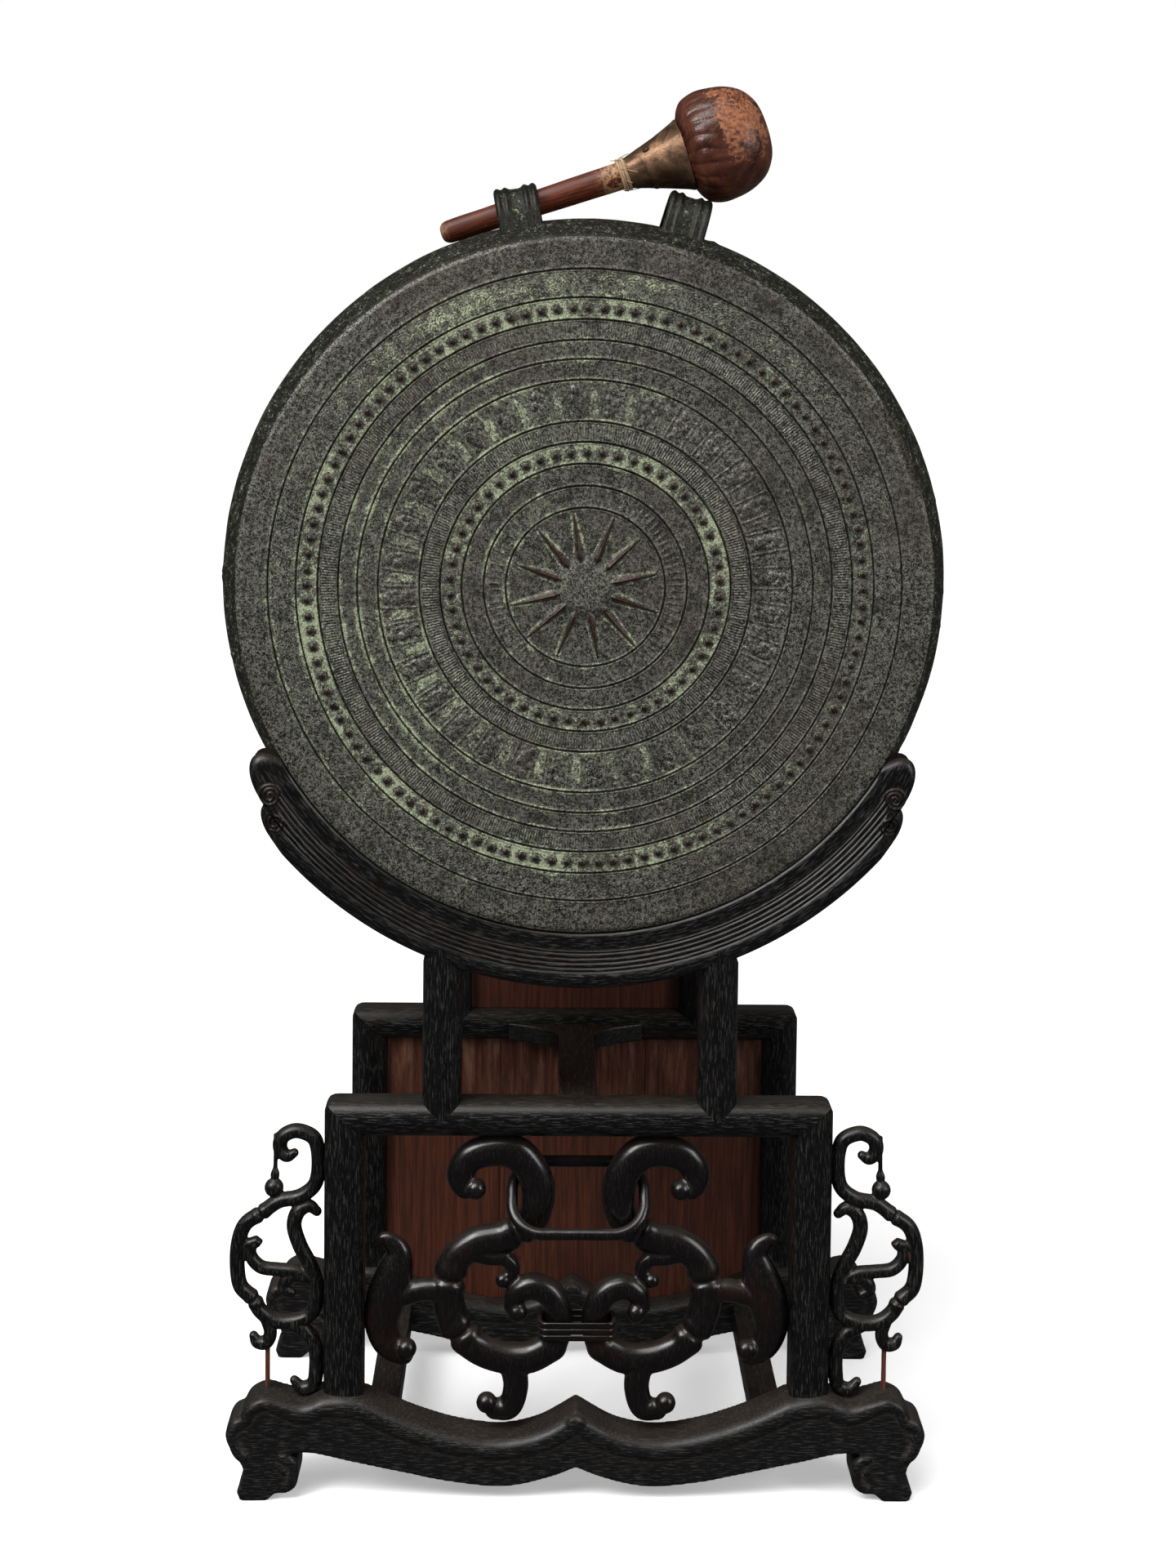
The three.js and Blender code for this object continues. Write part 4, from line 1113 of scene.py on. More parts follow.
def panel(word, outline_low, outline_high, joints, dusty):
    """An upright board panel, from one edge up to another, and the places where its boards meet."""
    node = f"rear_{word}_panel"
    low, high = cad(node)
    x = np.linspace(low[0], high[0], 150)
    for joint in joints:
        x = np.sort(np.append(x, [joint - 0.5, joint, joint + 0.5]))
    t = np.linspace(0, 1, 90)[:, None]
    bottom = np.array([outline_low(v) for v in x])
    top = np.array([outline_high(v) for v in x])
    z = bottom + t * (top - bottom)
    xx = np.broadcast_to(x, z.shape)
    groove = sum(0.7 * smooth(np.abs(xx - joint), 0.6, 0) for joint in joints) + 0 * xx
    grain = np.stack([z, xx, 0 * z], -1)
    ripple = 0.3 * cloud(grain * [0.05, 1, 1], 7, 5)
    front = np.stack([xx, low[1] + groove + ripple, z], -1)
    back = np.stack([xx, high[1] - ripple, z], -1)
    loop = np.concatenate([front, back[:, ::-1]], 1)
    turn = np.concatenate([grain, grain[:, ::-1] + [30, 0, 0]], 1)
    shape = Shape().grid(loop, wrap_cols=True, caps=True, grain=turn)
    height = t * np.ones(2 * len(x))
    dust = {"dust": (dusty * smooth(height, 0.55, 1.0)).ravel()}
    build(f"rear_{word}_boards", shape, "stand", [node], "panel_wood", PANEL, dust)


def make_panels():
    """The upper panel down to the cradle, and the lower one between cradle and base."""
    upper_low, _ = cad("rear_upper_panel")
    lower_low, lower_high = cad("rear_lower_panel")

    def cradle_edge(x):
        return DRUM_Z - math.sqrt((CRADLE_R + GAP) ** 2 - x**2)

    def base_edge(x):
        return max(base_top(abs(x)) + GAP, lower_low[2])

    panel("upper", lambda x: upper_low[2], cradle_edge, (13.0,), 0.0)
    panel("lower", base_edge, lambda x: lower_high[2], (-61.0, 58.0), 0.5)


def make_runners():
    """The two bars from the front base board to the rear one, with eased corners."""
    for word in ("left", "right"):
        node = f"{word}_base_runner"
        low, high = cad(node)
        section = rounded_loop((high[0] - low[0]) / 2, (high[2] - low[2]) / 2, 1.6, 5)
        y = np.linspace(low[1], high[1], 70)
        middle = (low + high) / 2
        points = np.zeros((len(y), len(section), 3))
        points[..., 0] = middle[0] + section[:, 0]
        points[..., 1] = y[:, None]
        points[..., 2] = middle[2] + section[:, 1]
        grain = points[..., [1, 0, 2]]
        points = points + 0.3 * (cloud(points, 15, 9)[..., None] - 0.5) * [1, 0, 1]
        shape = Shape().grid(points, wrap_cols=True, caps=True, grain=grain)
        build(node + "_wood", shape, "stand", [node], "ebonised_wood", MATTE, crease=50)


def make_stretcher():
    """The top stretcher, flaring in two ogee brackets at the rear rail."""
    low, high = cad("top_stretcher")
    half, flare, run = 14.0, high[0], 40.0
    t = np.linspace(0, 1, 40)[:, None]
    bend = half + 0.38 * (flare - half)
    corners = [[half, -run], [half, -0.42 * run], [bend, -0.25 * run], [flare, 0]]
    a, b, c, d = np.array(corners) + [0, high[1]]
    ogee = (1 - t) ** 3 * a + 3 * t * (1 - t) ** 2 * b + 3 * t**2 * (1 - t) * c + t**3 * d
    side = np.vstack([[[half, low[1]]], ogee])
    outline = np.vstack([side, side[::-1] * [-1, 1]])
    shape = Shape()
    layers = [np.column_stack([outline, np.full(len(outline), z)]) for z in (low[2], high[2])]
    shape.grid(np.array(layers), wrap_cols=True, caps=True)
    mesh = merged("top_stretcher_wood", shape, 0.9)
    set_attribute(mesh, "grain", mesh_points(mesh)[:, [1, 0, 2]] * MM)
    piece("top_stretcher_wood", mesh, "stand", ["top_stretcher"], "ebonised_wood", BLACK, crease=0)


# ---- Drum face ----

FACE_WALL = 3.2
# Degrees clockwise from the top at which verdigris is thinnest.
CLEAN_SIDE = 88
# Rings of even verdigris: thickness, middle radius, and half-widths where it ends and is full.
GREEN_RINGS = (
    (0.8, 196.6, 8.2, 6.4),
    (0.2, 131.8, 14.6, 13),
    (0.28, 181.7, 7.4, 6.4),
    (0.3, 110, 7.4, 6.4),
    (0.26, 64, 8, 6),
)
# Radii of the double lines that part the rings.
RING_LINES = (56.3, 71.9, 87.4, 102.7, 117.3, 146.4, 161.0, 174.5, 188.9, 204.2, 224.1)
INNER_COMB, TILES = RING_LINES[3:5], RING_LINES[4:6]
OUTER_COMB, CLOUDS = RING_LINES[7:9], RING_LINES[9:11]
# The star's rays, in degrees clockwise from the top.
RAY_ANGLES = (-10, 21.5, 47.5, 78.5, 108.5, 139.5, 169.5, 202, 229, 256, 288, 320)
# Rings of bosses: how many, the ring's radius, and a boss's radius.
INNER_BOSSES = (54, 95.2, 2.8)
OUTER_BOSSES = (112, 196.6, 2.9)


def line_relief(r):
    """Each ring line is a narrow groove between two low ridges."""
    total = 0 * r
    for line in RING_LINES:
        total = total + 0.5 * (bump(r, line - 1.2, 0.5) + bump(r, line + 1.2, 0.5))
        total = total - 0.9 * bump(r, line, 0.5)
    return total


def grooves(r):
    """1 in the middle of each ring line: the mask for the shade painted into its groove."""
    return sum(bump(r, line, 0.5) for line in RING_LINES)


def green(r, phi):
    """How thickly verdigris lies on the face: phi is in degrees clockwise from the top."""
    away = np.abs(apart(phi, CLEAN_SIDE))
    side = 0.42 + 0.58 * smooth(away, 35, 95)
    top = np.abs(apart(phi, 0))
    outer = 0.5 * bump(np.abs(r - RING_LINES[-1]), 1.6, 1.6) * smooth(away, 60, 100)
    inner_bosses = 0.74 * smooth(np.abs(r - 95.2), 8.2, 6.2) * (0.8 + 0.2 * side) / side
    curls = (0.12 + 0.32 * smooth(top, 75, 25)) * smooth(np.abs(r - 214), 10, 8)
    total = np.maximum(np.maximum(outer, inner_bosses), np.maximum(curls, 0.04))
    for line in RING_LINES[:-1]:
        total = np.maximum(total, 0.62 * bump(np.abs(r - line), 1.4, 1.6))
    for thickness, radius, end, full in GREEN_RINGS:
        total = np.maximum(total, thickness * smooth(np.abs(r - radius), end, full))
    left = smooth(np.abs(phi - 270), 75, 40) * smooth(np.abs(r - 161), 16, 11)
    where = np.stack([r * np.sin(phi * DEG), 0 * r, r * np.cos(phi * DEG)], -1)
    patches = 0.74 + 0.4 * smooth(cloud(where, 24, 91), 0.4, 0.6)
    return np.clip((total + 0.22 * left) * side * patches, 0, 1.2)


def hatch(r, phi, count, low, high):
    """Fine comb lines between two ring lines."""
    comb = wave(count * phi * DEG)
    return 0.55 * comb * smooth(r, low + 1.8, low + 2.6) * smooth(r, high - 1.8, high - 2.6)


def star(r, phi):
    """A rough raised middle with twelve thin ridged rays, irregular as modelled in wax."""
    total = 2.9 * smooth(r, 25, 14)
    crest = foot = 0 * r
    for k, angle in enumerate(RAY_ANGLES):
        off = apart(phi, angle) * DEG
        across = np.abs(r * np.sin(off))
        ahead = np.where(np.abs(off) < 1.2, 1.0, 0.0)
        reach = 53 + 2.2 * math.sin(1.7 * k)
        half = np.interp(r, [0, 14, 22, reach], [0.6, 1.6, 3.5, 0.7])
        height = np.interp(r, [0, 13, 22, reach - 4, reach], [0, 0, 4.2, 2.0, 0])
        inside = ahead * (r < reach + 0.5)
        ridge = inside * height * np.clip(1 - across / half, 0, 1) ** 0.8
        total = np.maximum(total, ridge)
        crest = np.maximum(crest, inside * smooth(across / half, 0.8, 0.2) * smooth(r, 17, 23))
        foot = np.maximum(foot, inside * bump(across, half + 0.7, 0.9) * smooth(r, 18, 26))
    return total, crest, foot


# A tile's figure: places round and outwards as shares of the tile, half-sizes, and height.
TILE_BLOBS = (
    (0.70, 0.36, 0.17, 0.20, 1.0),
    (0.60, 0.55, 0.12, 0.13, 0.9),
    (0.66, 0.78, 0.13, 0.12, 1.0),
    (0.80, 0.70, 0.08, 0.09, 0.7),
    (0.84, 0.52, 0.07, 0.14, 0.8),
    (0.56, 0.18, 0.08, 0.09, 0.7),
    (0.80, 0.16, 0.08, 0.08, 0.7),
    (0.90, 0.86, 0.05, 0.06, 0.5),
)


def tiles(r, phi):
    """Panels with a slanted plain field and a lumpy curled figure, parted by radial ridges."""
    (low, high), count = TILES, 32
    u = (phi / 360 * count) % 1
    cell = np.floor(phi / 360 * count)
    v = (r - low) / (high - low)
    shift = 0.02 * np.sin(cell * 2.1)
    figure = 0 * r
    for cu, cv, ru, rv, h in TILE_BLOBS:
        away = ((u - cu - shift) / ru) ** 2 + ((v - cv + 0.03 * np.sin(cell * 1.3)) / rv) ** 2
        figure = np.maximum(figure, h * np.sqrt(np.clip(1 - away, 0, 1)))
    slant = 0.08 * (v - 0.5)
    ridge = bump(u, 0.985, 0.02) + bump(u, -0.015, 0.02) + 0.8 * bump(u, 0.40 + slant, 0.02)
    field = smooth(u, 0.07, 0.1) * smooth(u, 0.35 + slant, 0.32 + slant)
    field = field * smooth(v, 0.1, 0.16) * smooth(v + 0.9 * (u - 0.1), 0.86, 0.8)
    inside = smooth(v, 0.03, 0.08) * smooth(v, 0.97, 0.92)
    return (1.25 * figure + 0.85 * ridge + 0.35 * field) * inside, field, figure


def clouds(r, phi):
    """Small coils below, with nested arches between them."""
    (low, high), count = CLOUDS, 88
    u = (phi / 360 * count) % 1
    width = 2 * math.pi * 214 / count
    mid = low + 6.2
    coil = np.hypot((u - 0.5) * width, r - mid)
    turn = np.arctan2(r - mid, (u - 0.5) * width)
    coils = smooth(coil, 6.0, 5.2) * wave(2 * math.pi * coil / 1.9 - turn)
    side = np.minimum(u, 1 - u) * width
    arch = np.hypot(side, r - (low + 9.6))
    arches = smooth(arch, 9.2, 8.4) * wave(2 * math.pi * arch / 2.0)
    inside = smooth(r, low + 1.6, low + 2.2) * smooth(r, high - 1.6, high - 2.2)
    return 0.5 * np.where(coil < 5.6, coils, arches * (r > low + 5)) * inside


def band(name, low, high, around, step, pattern):
    """A closed ring of the drum's face between two radii, with the pattern in its front.

    It has so many points around, and steps of the given size from radius to radius.
    """
    count = max(int((high - low) / step), 2)
    r = list(np.linspace(low, high, count + 1))
    for line in RING_LINES:
        if low - 2 < line < high + 2:
            r += [v for v in line + np.arange(-2.0, 2.01, 0.25) if low < v < high]
    r = np.unique(np.round(r, 3))
    r = r[np.concatenate([[True], np.diff(r) > 0.12])]
    r[-1] = high
    phi = np.linspace(0, 360, around, endpoint=False)
    rr, pp = np.meshgrid(r, phi, indexing="ij")
    relief, patina, crest = pattern(rr, pp)
    x, z = rr * np.sin(pp * DEG), rr * np.cos(pp * DEG)
    flat = np.stack([x, z, 0 * x], -1)
    relief = relief + line_relief(rr)
    # Painted shade in the ring lines' grooves: crest falls below 0 there and the verdigris thins.
    crest = crest - grooves(rr)
    patina = patina * (0.75 + 0.5 * cloud(flat, 22, 12, 2)) - 0.5 * grooves(rr)
    relief = relief * (0.7 + 0.5 * cloud(flat, 16, 3)) + 0.25 * (cloud(flat, 4, 8, 3) - 0.5)
    relief = relief + 0.8 * (cloud(flat, 120, 21, 2) - 0.5)
    fade = smooth(rr, FACE_R, FACE_R - 3)
    front = on_drum(x, -relief * fade + 0.9 * (1 - fade), z)
    back = [on_drum(x[k], np.full(around, FACE_WALL), z[k]) for k in (-1, 0)]
    points = np.concatenate([front, np.array(back)], 0)
    shape = Shape().grid(points, wrap_rows=True, wrap_cols=True)
    pad = np.zeros((2, around))
    extra = {
        "patina": np.concatenate([patina, pad]).ravel(),
        "crest": np.concatenate([crest, pad]).ravel(),
    }
    build(name, shape, "drum", ["drum_face"], "bronze", FACE_BRONZE, extra, crease=65)


def plain(r, phi):
    """A ring without ornament. A pattern gives relief, patina and crest."""
    return 0 * r, green(r, phi), 0 * r


def boss_band(count, radius, size):
    """The ground of a ring of bosses, with painted shade: thinner verdigris round each boss's foot.
    """

    def pattern(r, phi):
        off = np.abs((phi / 360 * count + 0.5) % 1 - 0.5) * 2 * math.pi * radius / count
        away = np.hypot(off, r - radius)
        # Painted shade: within about 2 mm of a boss the verdigris thins, leaving a dark ring round
        # its foot.
        return 0 * r, green(r, phi) * (0.45 + 0.55 * smooth(away, size + 0.3, size + 2.2)), 0 * r

    return pattern


def bosses(name, count, radius, size, seed):
    """A ring of small rounded bosses, worn dark on top."""
    shape, patina, crest = Shape(), [], []
    rings, around = 7, 16
    tilt = np.linspace(0, 90, rings) * DEG
    for k in range(count):
        angle = (k + 0.04 * math.sin(k * 2.3 + seed)) * 2 * math.pi / count
        at = radius + 0.2 * math.sin(k * 1.7 + seed)
        x, z = at * math.sin(angle), at * math.cos(angle)
        r = size * (1 + 0.07 * math.sin(k * 3.1 + seed))
        flat = value_noise(np.array([[x, z, 0]]), 120, 21)[0]
        height = r * 0.92
        spin = turns(around)
        rows = [on_drum(x + r * np.sin(spin), np.full(around, 1.5), z + r * np.cos(spin))]
        for t in tilt[:-1]:
            out = r * math.cos(t) ** 0.8
            up = height * math.sin(t) + 0.2 * (flat - 0.5)
            raised = np.full(around, -up)
            rows.append(on_drum(x + out * np.sin(spin), raised, z + out * np.cos(spin)))
        shape.grid(np.array(rows), wrap_cols=True, caps=True)
        level = np.concatenate([[0], tilt[:-1]])[:, None] * np.ones(around)
        crest.append(smooth(level, 0.25, 0.8).ravel())
        patina.append((0.9 * smooth(level, 0.7, 0.1)).ravel())
    extra = {"patina": np.concatenate(patina), "crest": np.concatenate(crest) * 0.75}
    build(name, shape, "drum", ["drum_face"], "bronze", FACE_BRONZE, extra, crease=0)


def make_face():
    """The face in rings, from the star outwards, and its two rings of bosses."""
    def star_band(r, phi):
        relief, crest, foot = star(r, phi)
        rough = 0.12 + 0.16 * smooth(r, 24, 16)
        return relief, np.maximum(green(r, phi), rough + 0.6 * foot) - 0.3 * crest, 1.1 * crest

    def bar_band(r, phi):
        bars = 0.3 * smooth(np.cos(90 * phi * DEG), 0.2, 0.7)
        bars = bars * smooth(r, 59, 60) * smooth(r, 69.5, 68.5)
        return bars, green(r, phi), 0 * r

    def hatch_band(count, low, high):
        def pattern(r, phi):
            comb = hatch(r, phi, count, low, high)
            return comb, green(r, phi) + 0.5 * smooth(comb, 0.25, 0.5) - 0.18, 0 * r

        return pattern

    def tile_band(r, phi):
        relief, field, figure = tiles(r, phi)
        sided = 0.4 + 0.6 * smooth(np.abs(apart(phi, CLEAN_SIDE)), 35, 95)
        patina = green(r, phi) + (0.34 * field + 0.12 - 0.45 * smooth(figure, 0.05, 0.4)) * sided
        return relief, np.clip(patina, 0, 1.2), 0 * r

    def cloud_band(r, phi):
        relief = clouds(r, phi)
        return relief, green(r, phi) + 0.25 * smooth(relief, 0.2, 0.4), 0 * r

    def rim_band(r, phi):
        ridges = 0.1 * np.cos(2 * math.pi * (r - 224) / 7.5)
        ridges = ridges * smooth(r, 226, 229) * smooth(r, 245, 240)
        worn = smooth(np.abs(phi - 66), 12, 5) * smooth(r, 238, 244)
        along = (r - 214) / 33 * (58 - 74) + 74
        crease = bump((phi - along) * DEG * r, 0, 0.9) * smooth(r, 212, 216)
        patina = 0.12 * smooth(phi, 130, 220) * smooth(phi, 360, 300)
        rubbed = 0.15 * smooth(r, 244.6, 245.8) * smooth(np.abs(np.abs(apart(phi, 0)) - 80), 55, 30)
        bare = np.clip(0.45 * worn + 0.8 * crease + rubbed, 0, 1)
        patina = np.maximum(green(r, phi) * smooth(r, 230, 226), patina)
        return ridges - 0.8 * worn + 0.5 * crease, patina + 0 * r, bare

    rings = (
        ("face_star", 720, 0.6, star_band),
        ("face_bars", 1080, 0.8, bar_band),
        ("face_ring_plain_inner", 720, 1.2, plain),
        ("face_inner_boss_band", 1080, 0.6, boss_band(*INNER_BOSSES)),
        ("face_inner_comb", 1800, 0.9, hatch_band(360, *INNER_COMB)),
        ("face_tiles", 1280, 0.5, tile_band),
        ("face_ring_plain_outer", 900, 1.3, plain),
        ("face_outer_comb", 2400, 1.0, hatch_band(600, *OUTER_COMB)),
        ("face_outer_boss_band", 1800, 0.7, boss_band(*OUTER_BOSSES)),
        ("face_clouds", 1760, 0.62, cloud_band),
        ("face_rim", 1080, 0.9, rim_band),
    )
    # The plain outer ring spans the line at 161.
    edges = (0.5, *RING_LINES[:6], *RING_LINES[7:], FACE_R)
    for (name, around, step, pattern), low, high in zip(rings, edges, edges[1:]):
        band(name, low, high, around, step, pattern)
    bosses("face_inner_bosses", *INNER_BOSSES, 1)
    bosses("face_outer_bosses", *OUTER_BOSSES, 4)


# ---- Drum mantle and handles ----


def mantle_profile():
    """Outside radius and distance behind the face: neck, chest, waist and flared foot."""
    side = [
        [FACE_R - 3.5, 3.4],
        [FACE_R - 3.5, 9],
        [CHEST_R - 9.5, 24],
        [CHEST_R, 49],
        [CHEST_R - 10, 80],
        [228, 116],
        [215, 146],
        [216, 176],
        [224, 218],
        [238.5, 254],
        [243.5, 262],
        [243.5, DRUM_END - FACE_Y],
    ]
    return evenly(spline(side, 500), 230)


# Ridges and combed bands go by their distance behind the face, casting seams by degrees clockwise
# from the top, and the low round nubs by both.
RIDGES = (14, 19, 60, 66, 94, 98, 134, 139, 144, 186, 190, 226, 231, 252)
COMBS = (37, 79, 115, 165, 208)
SEAMS = (1.5, 90.8, 181, 271)
NUBS = (
    (24, 30), (24, 330), (52, 76), (52, 97), (52, 270), (52, 258), (52, 118), (52, 236), (30, 12),
    (30, 348), (70, 45), (70, 315), (70, 140), (70, 215), (52, 20), (52, 160), (52, 200),
)


def make_mantle():
    """The drum's side: ridges, combs, casting seams and nubs outside, and smooth inside."""
    side = mantle_profile()
    around = 320
    phi = np.linspace(0, 360, around, endpoint=False)
    r = side[:, :1] * np.ones(around)
    along = side[:, 1:] * np.ones(around)
    angle = np.broadcast_to(phi, r.shape)
    relief = -1.3 + 0 * r
    for line in RIDGES:
        relief = relief + 0.55 * bump(along, line, 1.1)
    comb = wave(180 * angle * DEG)
    for line in COMBS:
        relief = relief + 0.25 * comb * smooth(np.abs(along - line), 6, 4.5)
    for seam in SEAMS:
        relief = relief + 0.9 * bump(apart(angle, seam) * DEG * r, 0, 1.3)
    for at, turn in NUBS:
        away = np.hypot(apart(angle, turn) * DEG * r, along - at)
        relief = relief + 1.3 * dome(away / 3.4)
    where = np.stack([r * np.sin(angle * DEG), along, r * np.cos(angle * DEG)], -1)
    relief = relief + 0.9 * (cloud(where, 30, 15) - 0.5) * smooth(along, 4, 14)
    outer_r = np.minimum(r + relief, CHEST_R - 0.05)
    inner = side[::-3]
    inner_r = (inner[:, :1] - 4.5) * np.ones(around)
    inner_along = inner[:, 1:] * np.ones(around)
    all_r = np.concatenate([outer_r, inner_r])
    all_along = np.concatenate([along, inner_along])
    turn = np.broadcast_to(phi * DEG, all_r.shape)
    points = on_drum(all_r * np.sin(turn), all_along, all_r * np.cos(turn))
    shape = Shape().grid(points, wrap_rows=True, wrap_cols=True)
    patina = np.full(all_r.shape, 0.1)
    patina[: len(side)] += 0.2 * smooth(relief, 0.0, -0.8)
    crest = np.zeros(all_r.shape)
    crest[: len(side)] = 0.35 * smooth(relief, -0.4, 0.6)
    extra = {"patina": patina.ravel(), "crest": crest.ravel()}
    nodes = ["drum_mantle"]
    build("drum_mantle_bronze", shape, "drum", nodes, "bronze", SIDE_BRONZE, extra, crease=50)


# Where the handles stand, in degrees clockwise from the top.
HANDLE_TURN = {"top_left": -10.7, "top_right": 15.1, "bottom_right": 169.3, "bottom_left": 195.1}


def make_handle(name, turn):
    """A strap handle with two rounded ribs down each side, arching from chest to waist."""
    arch = [
        [36, 259], [38, 275], [46, 286], [62, 291], [84, 288], [108, 269], [124, 246], [131, 223],
    ]
    outer = evenly(spline(arch, 300), 130)
    t = tangents(outer)
    inward = np.stack([t[:, 1], -t[:, 0]], 1)
    half, strap = 15.8, 4.5
    across = np.linspace(-half, half, 61)
    ribs = sum(bump(np.abs(across), at, 2.3) for at in (13.0, 7.2))
    depth = 2.0 - 2.0 * ribs + 1.2 * smooth(np.abs(across), half - 0.8, half)
    depth = np.clip(depth, 0, None)
    under = np.linspace(half - 0.4, -half + 0.4, 12)
    section_a = np.concatenate([across, under])
    section_d = np.concatenate([depth, np.full(len(under), strap)])
    rows = []
    for p, n in zip(outer, inward):
        at = p + n * section_d[:, None]
        rows.append(np.stack([section_a, at[:, 0], at[:, 1]], 1))
    grid = np.array(rows)
    grid[..., 2] += 0.5 * (cloud(grid + turn * 10, 7, 31) - 0.5)
    c, s = math.cos(turn * DEG), math.sin(turn * DEG)
    x = grid[..., 0] * c + grid[..., 2] * s
    z = grid[..., 2] * c - grid[..., 0] * s
    points = on_drum(x, grid[..., 1], z)
    shape = Shape().grid(points, wrap_cols=True, caps=True)
    level = np.concatenate([ribs, np.zeros(len(under))]) * np.ones((len(rows), 1))
    extra = {"patina": (0.34 - 0.3 * level).ravel(), "crest": (0.3 * np.clip(level, 0, 1)).ravel()}
    build(f"{name}_strap", shape, "drum", [f"{name}_handle"], "bronze", SIDE_BRONZE, extra)


# ---- Beater ----

# The beater slopes up to the right. Distances along it are measured from its start.
SLOPE = 18.7 * DEG
BEATER_START = np.array([-54, FRONT_Y + 75, 929.7])
BEATER_ALONG = np.array([math.cos(SLOPE), 0, math.sin(SLOPE)])
BEATER_UP = np.array([-math.sin(SLOPE), 0, math.cos(SLOPE)])
BEATER_FRONT = np.array([0, -1, 0])


def on_beater(front, along, up):
    front, along, up = (np.asarray(v, float)[..., None] for v in (front, along, up))
    return BEATER_START + along * BEATER_ALONG + front * BEATER_FRONT + up * BEATER_UP


def turned_beater(profile, sides, change=None, wrap=False):
    """A turned piece of the beater. change alters radius and distance, given the angle as well."""
    profile = np.asarray(profile, float)
    turn = turns(sides)
    r = profile[:, :1] * np.ones(sides)
    along = profile[:, 1:] * np.ones(sides)
    if change:
        r, along = change(r, along, np.broadcast_to(turn, r.shape))
    points = on_beater(r * np.sin(turn), along, r * np.cos(turn))
    grain = np.stack([along, turn * 12 + 0 * r, r], -1)
    return Shape().grid(points, wrap_rows=wrap, wrap_cols=True, caps=not wrap, grain=grain)


def make_stick():
    """The round stick, a little thicker towards the head and rubbed bare at both ends."""
    side = [
        [0.4, -56], [3.4, -55.7], [5.8, -54.8], [8.0, -51.6], [8.6, -46], [8.9, -20], [9.4, 10],
        [10.4, 84], [10.6, 114], [10.6, 140],
    ]
    profile = evenly(spline(side, 300), 140)

    def change(r, along, turn):
        where = np.stack([along, 10 * np.cos(turn), 10 * np.sin(turn)], -1)
        return r * (1 - 0.03 * cloud(where, 24, 51)), along

    shape = turned_beater(profile, 48, change)
    along = (shape.arrays()[0] - BEATER_START) @ BEATER_ALONG
    extra = {"bare": 0.85 * smooth(along, 60, 78) + 0.5 * smooth(along, -50, -54)}
    build("beater_stick_wood", shape, "beater", ["beater_stick"], "stick_wood", STICK, extra)


def make_ferrule():
    """A cone of rolled sheet with its lengthwise overlap, dents and an uneven mouth."""
    cone = evenly(spline([[11.9, 88], [15, 98], [19.6, 112], [25.8, 128], [27.2, 131]], 120), 46)
    inside = (cone - [1.1, 0])[::-1]
    profile = np.vstack([cone, inside])

    def change(r, along, turn):
        where = np.stack([along, 20 * np.cos(turn), 20 * np.sin(turn)], -1)
        seam = (turn - 0.95 + math.pi) % (2 * math.pi) - math.pi
        lap = 0.9 * smooth(seam, 0, 0.025) * smooth(seam, 0.6, 0.05)
        dents = 1.0 * (cloud(where, 14, 61) - 0.5)
        uneven = 1.0 * (cloud(where * [0, 1, 1], 12, 63) - 0.5) * smooth(along, 112, 131)
        return r + lap * 0.8 + dents - 0.4, along + uneven

    shape = turned_beater(profile, 220, change, wrap=True)
    nodes = ["beater_ferrule"]
    build("beater_ferrule_sheet", shape, "beater", nodes, "ferrule_metal", FERRULE, crease=35)


def make_nails():
    """Domed nail heads square to the ferrule's cone, at degrees from its top to the front."""
    for word, around in (("upper", 48), ("lower", 158)):
        angle = around * DEG
        out = BEATER_UP * math.cos(angle) + BEATER_FRONT * math.sin(angle)
        side = np.cross(out, BEATER_ALONG)
        centre = BEATER_START + 104.5 * BEATER_ALONG + out * 16.6
        lean = 19.5 * DEG
        lift = out * math.cos(lean) - BEATER_ALONG * math.sin(lean)
        across = np.cross(side, lift)
        rows = []
        spin = turns(20)[:, None]
        for r, up in ((1.6, 0.0), (2.4, 0.7), (2.5, 1.1), (2.1, 1.6), (1.4, 1.9), (0.5, 2.05)):
            rows.append(centre + lift * up + r * (np.cos(spin) * side + np.sin(spin) * across))
        shape = Shape().grid(np.array(rows), wrap_cols=True, caps=True)
        node = f"beater_nail_{word}"
        build(node + "_head", shape, "beater", [node], "ferrule_metal", NAIL)


def make_head():
    """Padded leather head, gathered in small pleats where it goes into the ferrule."""
    outside = [
        [13.5, 116], [19.4, 122], [22.6, 128], [26.5, 132], [32, 134.6], [37.6, 139.5], [41, 149],
        [41, 160], [38.4, 173], [32, 184], [21, 191.4], [8, 193.7], [0.4, 193.8],
    ]
    profile = evenly(spline(outside, 500), 190)

    def change(r, along, turn):
        where = np.stack([along, 40 * np.cos(turn), 40 * np.sin(turn)], -1)
        wander = 1.6 * cloud(where, 26, 71)
        folds = np.abs(np.sin(11.5 * turn + wander * 3)) ** 0.6 - 0.7
        depth = 1.7 * smooth(along, 166, 134) * smooth(along, 120, 131)
        body = 1.8 * (cloud(where, 30, 73) - 0.5) * smooth(along, 130, 145)
        return np.maximum(r + folds * depth + body, 0.3), along

    shape = turned_beater(profile, 300, change)
    away = shape.arrays()[0] - BEATER_START
    along, front, up = (away @ axis for axis in (BEATER_ALONG, BEATER_FRONT, BEATER_UP))
    struck = smooth(along, 148, 162) * smooth(along, 200, 184) * smooth(up, -34, 12)
    rubbed = smooth(front, 10, 40) * smooth(along, 150, 165)
    extra = {"scuff": 0.5 * struck + 0.22 * rubbed}
    nodes = ["beater_head"]
    head = build("beater_head_leather", shape, "beater", nodes, "leather", LEATHER, extra, crease=0)


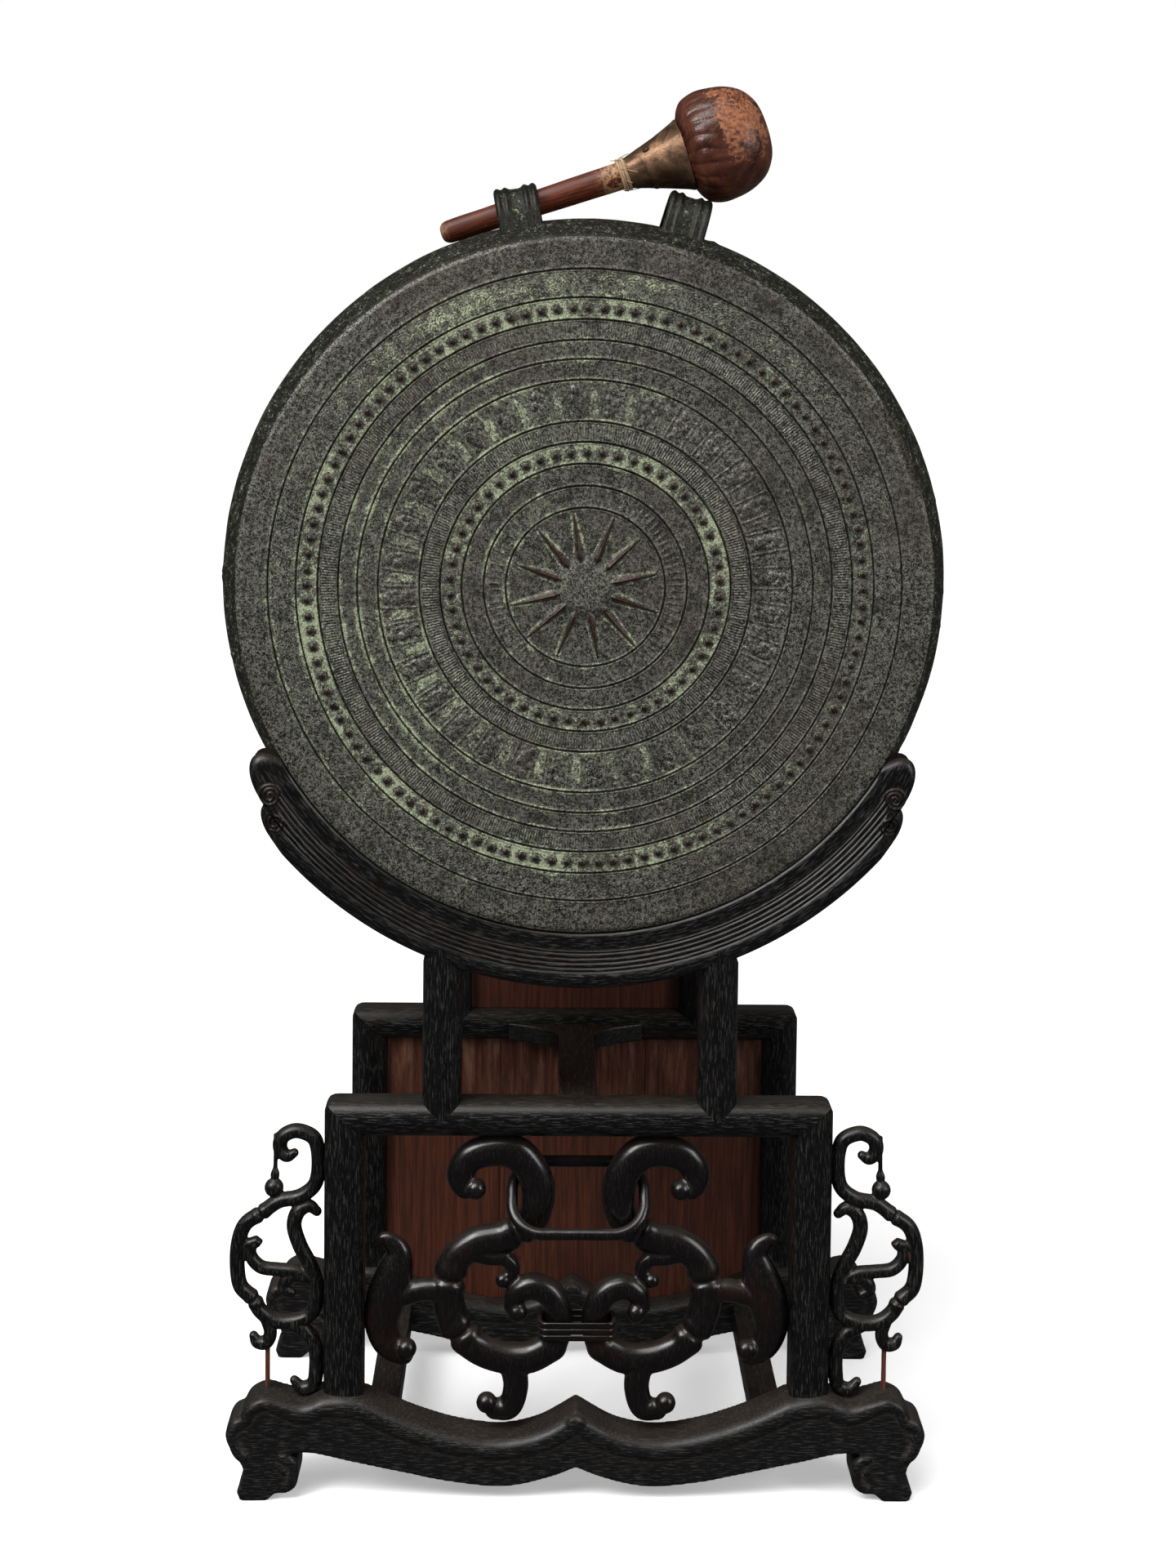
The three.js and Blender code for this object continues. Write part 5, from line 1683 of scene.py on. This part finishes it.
def make_twine():
    """Straw twine in five turns round the stick below the ferrule, with short frayed ends."""
    shape = Shape()
    winds = 5
    t = np.linspace(0, 1, 60 * winds)
    angle = 2 * math.pi * winds * t
    radius = 11.55 + 0.35 * np.sin(angle * 1.31)
    along = 81.2 + 6.2 * t + 0.4 * np.sin(angle * 0.7)
    centre = on_beater(radius * np.sin(angle), along, radius * np.cos(angle))
    paths = [(centre, 0.72)]
    for k in range(9):
        lean = 0.5 + 0.75 * k
        reach = 7 + 4 * math.sin(k * 1.9)
        s = np.linspace(0, 1, 14)
        r = 12.1 + 1.6 * s * (1 + 0.5 * math.sin(k * 2.7))
        a = lean + 0.5 * s * math.sin(k * 1.3)
        x = 84 + (s - 0.1) * reach * (1 if k % 3 else -1)
        paths.append((on_beater(r * np.sin(a), x, r * np.cos(a)), 0.28))
    for path, size in paths:
        ref = path - BEATER_START
        ref = ref - (ref @ BEATER_ALONG)[:, None] * BEATER_ALONG
        ref /= np.linalg.norm(ref, axis=1)[:, None]
        side = np.cross(tangents(path), ref)
        around = turns(10)
        twist = np.linspace(0, len(path) * 0.5, len(path))[:, None]
        bulge = size * (1 + 0.16 * np.cos(3 * around + twist))[..., None]
        ring = path[:, None] + bulge * (
            np.cos(around)[:, None] * ref[:, None] + np.sin(around)[:, None] * side[:, None]
        )
        length = np.arange(len(path))[:, None]
        grain = np.broadcast_arrays(length, 3 * np.cos(around), 3 * np.sin(around))
        grain = np.stack(grain, -1)
        shape.grid(ring, wrap_cols=True, caps=True, grain=grain)
    build("beater_twine_wrap", shape, "beater", ["beater_twine"], "twine", TWINE)


def make_core():
    """The wadding inside the head, which shows only if the leather is taken off."""
    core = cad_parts["beater_core"]
    core.data.materials.clear()
    core.data.materials.append(WADDING)


# ---- Floor and light ----

# Strength of the white surroundings as light, and as seen in reflections.
SKY_LIGHT = 0.42
SKY_REFLECTION = 0.06


def make_floor():
    """A floor that is seen but throws no light and doesn't show in reflections."""
    size = 30.0  # metres each way
    mesh = bpy.data.meshes.new("floor")
    corners = [(-size, -size, 0), (size, -size, 0), (size, size, 0), (-size, size, 0)]
    mesh.from_pydata(corners, [], [(0, 1, 2, 3)])
    floor = new_object("floor", mesh)
    mesh.materials.append(floor_look())
    floor.visible_glossy = False
    floor.visible_diffuse = False


def softbox(name, place, target, size, power):
    """A rectangular lamp aimed at a point, in metres and watts."""
    data = bpy.data.lights.new(name, "AREA")
    data.shape = "RECTANGLE"
    data.size, data.size_y = size
    data.energy = power
    lamp = new_object(name, data)
    lamp.location = place
    aim = Vector(target) - Vector(place)
    lamp.rotation_euler = aim.to_track_quat("-Z", "Y").to_euler()


def make_light():
    """A white studio: white to the camera, softer as light, and dim in reflections."""
    world = bpy.data.worlds.new("studio")
    world.use_nodes = True
    tree = world.node_tree
    background = tree.nodes["Background"]
    background.inputs["Color"].default_value = (1, 1, 1, 1)
    path = tree.nodes.new("ShaderNodeLightPath")
    strength = SKY_LIGHT
    changes = {"Is Camera Ray": 1 - SKY_LIGHT, "Is Glossy Ray": SKY_REFLECTION - SKY_LIGHT}
    for ray, change in changes.items():
        step = tree.nodes.new("ShaderNodeMath")
        step.operation = "MULTIPLY_ADD"
        tree.links.new(path.outputs[ray], step.inputs[0])
        step.inputs[1].default_value = change
        if isinstance(strength, float):
            step.inputs[2].default_value = strength
        else:
            tree.links.new(strength, step.inputs[2])
        strength = step.outputs[0]
    tree.links.new(strength, background.inputs["Strength"])
    bpy.context.scene.world = world
    bpy.context.scene.view_settings.view_transform = "Standard"
    softbox("key", (-1.7, -1.6, 2.1), (0, 0, 0.6), (0.9, 1.3), 48)
    softbox("fill", (2.1, -1.3, 1.5), (0, 0, 0.6), (0.7, 1.6), 26)
    above = bpy.data.lights.new("above", "SUN")
    above.energy = 2.2
    above.angle = 40 * DEG
    lamp = new_object("above", above)
    lamp.rotation_euler = Vector((0.45, 0.62, -1.35)).to_track_quat("-Z", "Y").to_euler()


# ---- Assembly ----

make_base("front", BASE_Y, 1)
make_base("rear", REAR_BASE_Y, 2)
make_frame("front", FRONT_Y)
make_frame("rear", REAR_Y)
make_cradle("front", FRONT_Y, *FRONT_SEAT)
make_cradle("rear", REAR_Y, *REAR_SEAT)
make_scrolls()
make_binding()
make_wings()
make_pegs()
make_ring()
make_panels()
make_runners()
make_stretcher()
make_face()
make_mantle()
for handle_name, handle_turn in HANDLE_TURN.items():
    make_handle(handle_name, handle_turn)
make_stick()
make_ferrule()
make_nails()
make_head()
make_twine()
make_core()
make_floor()
make_light()
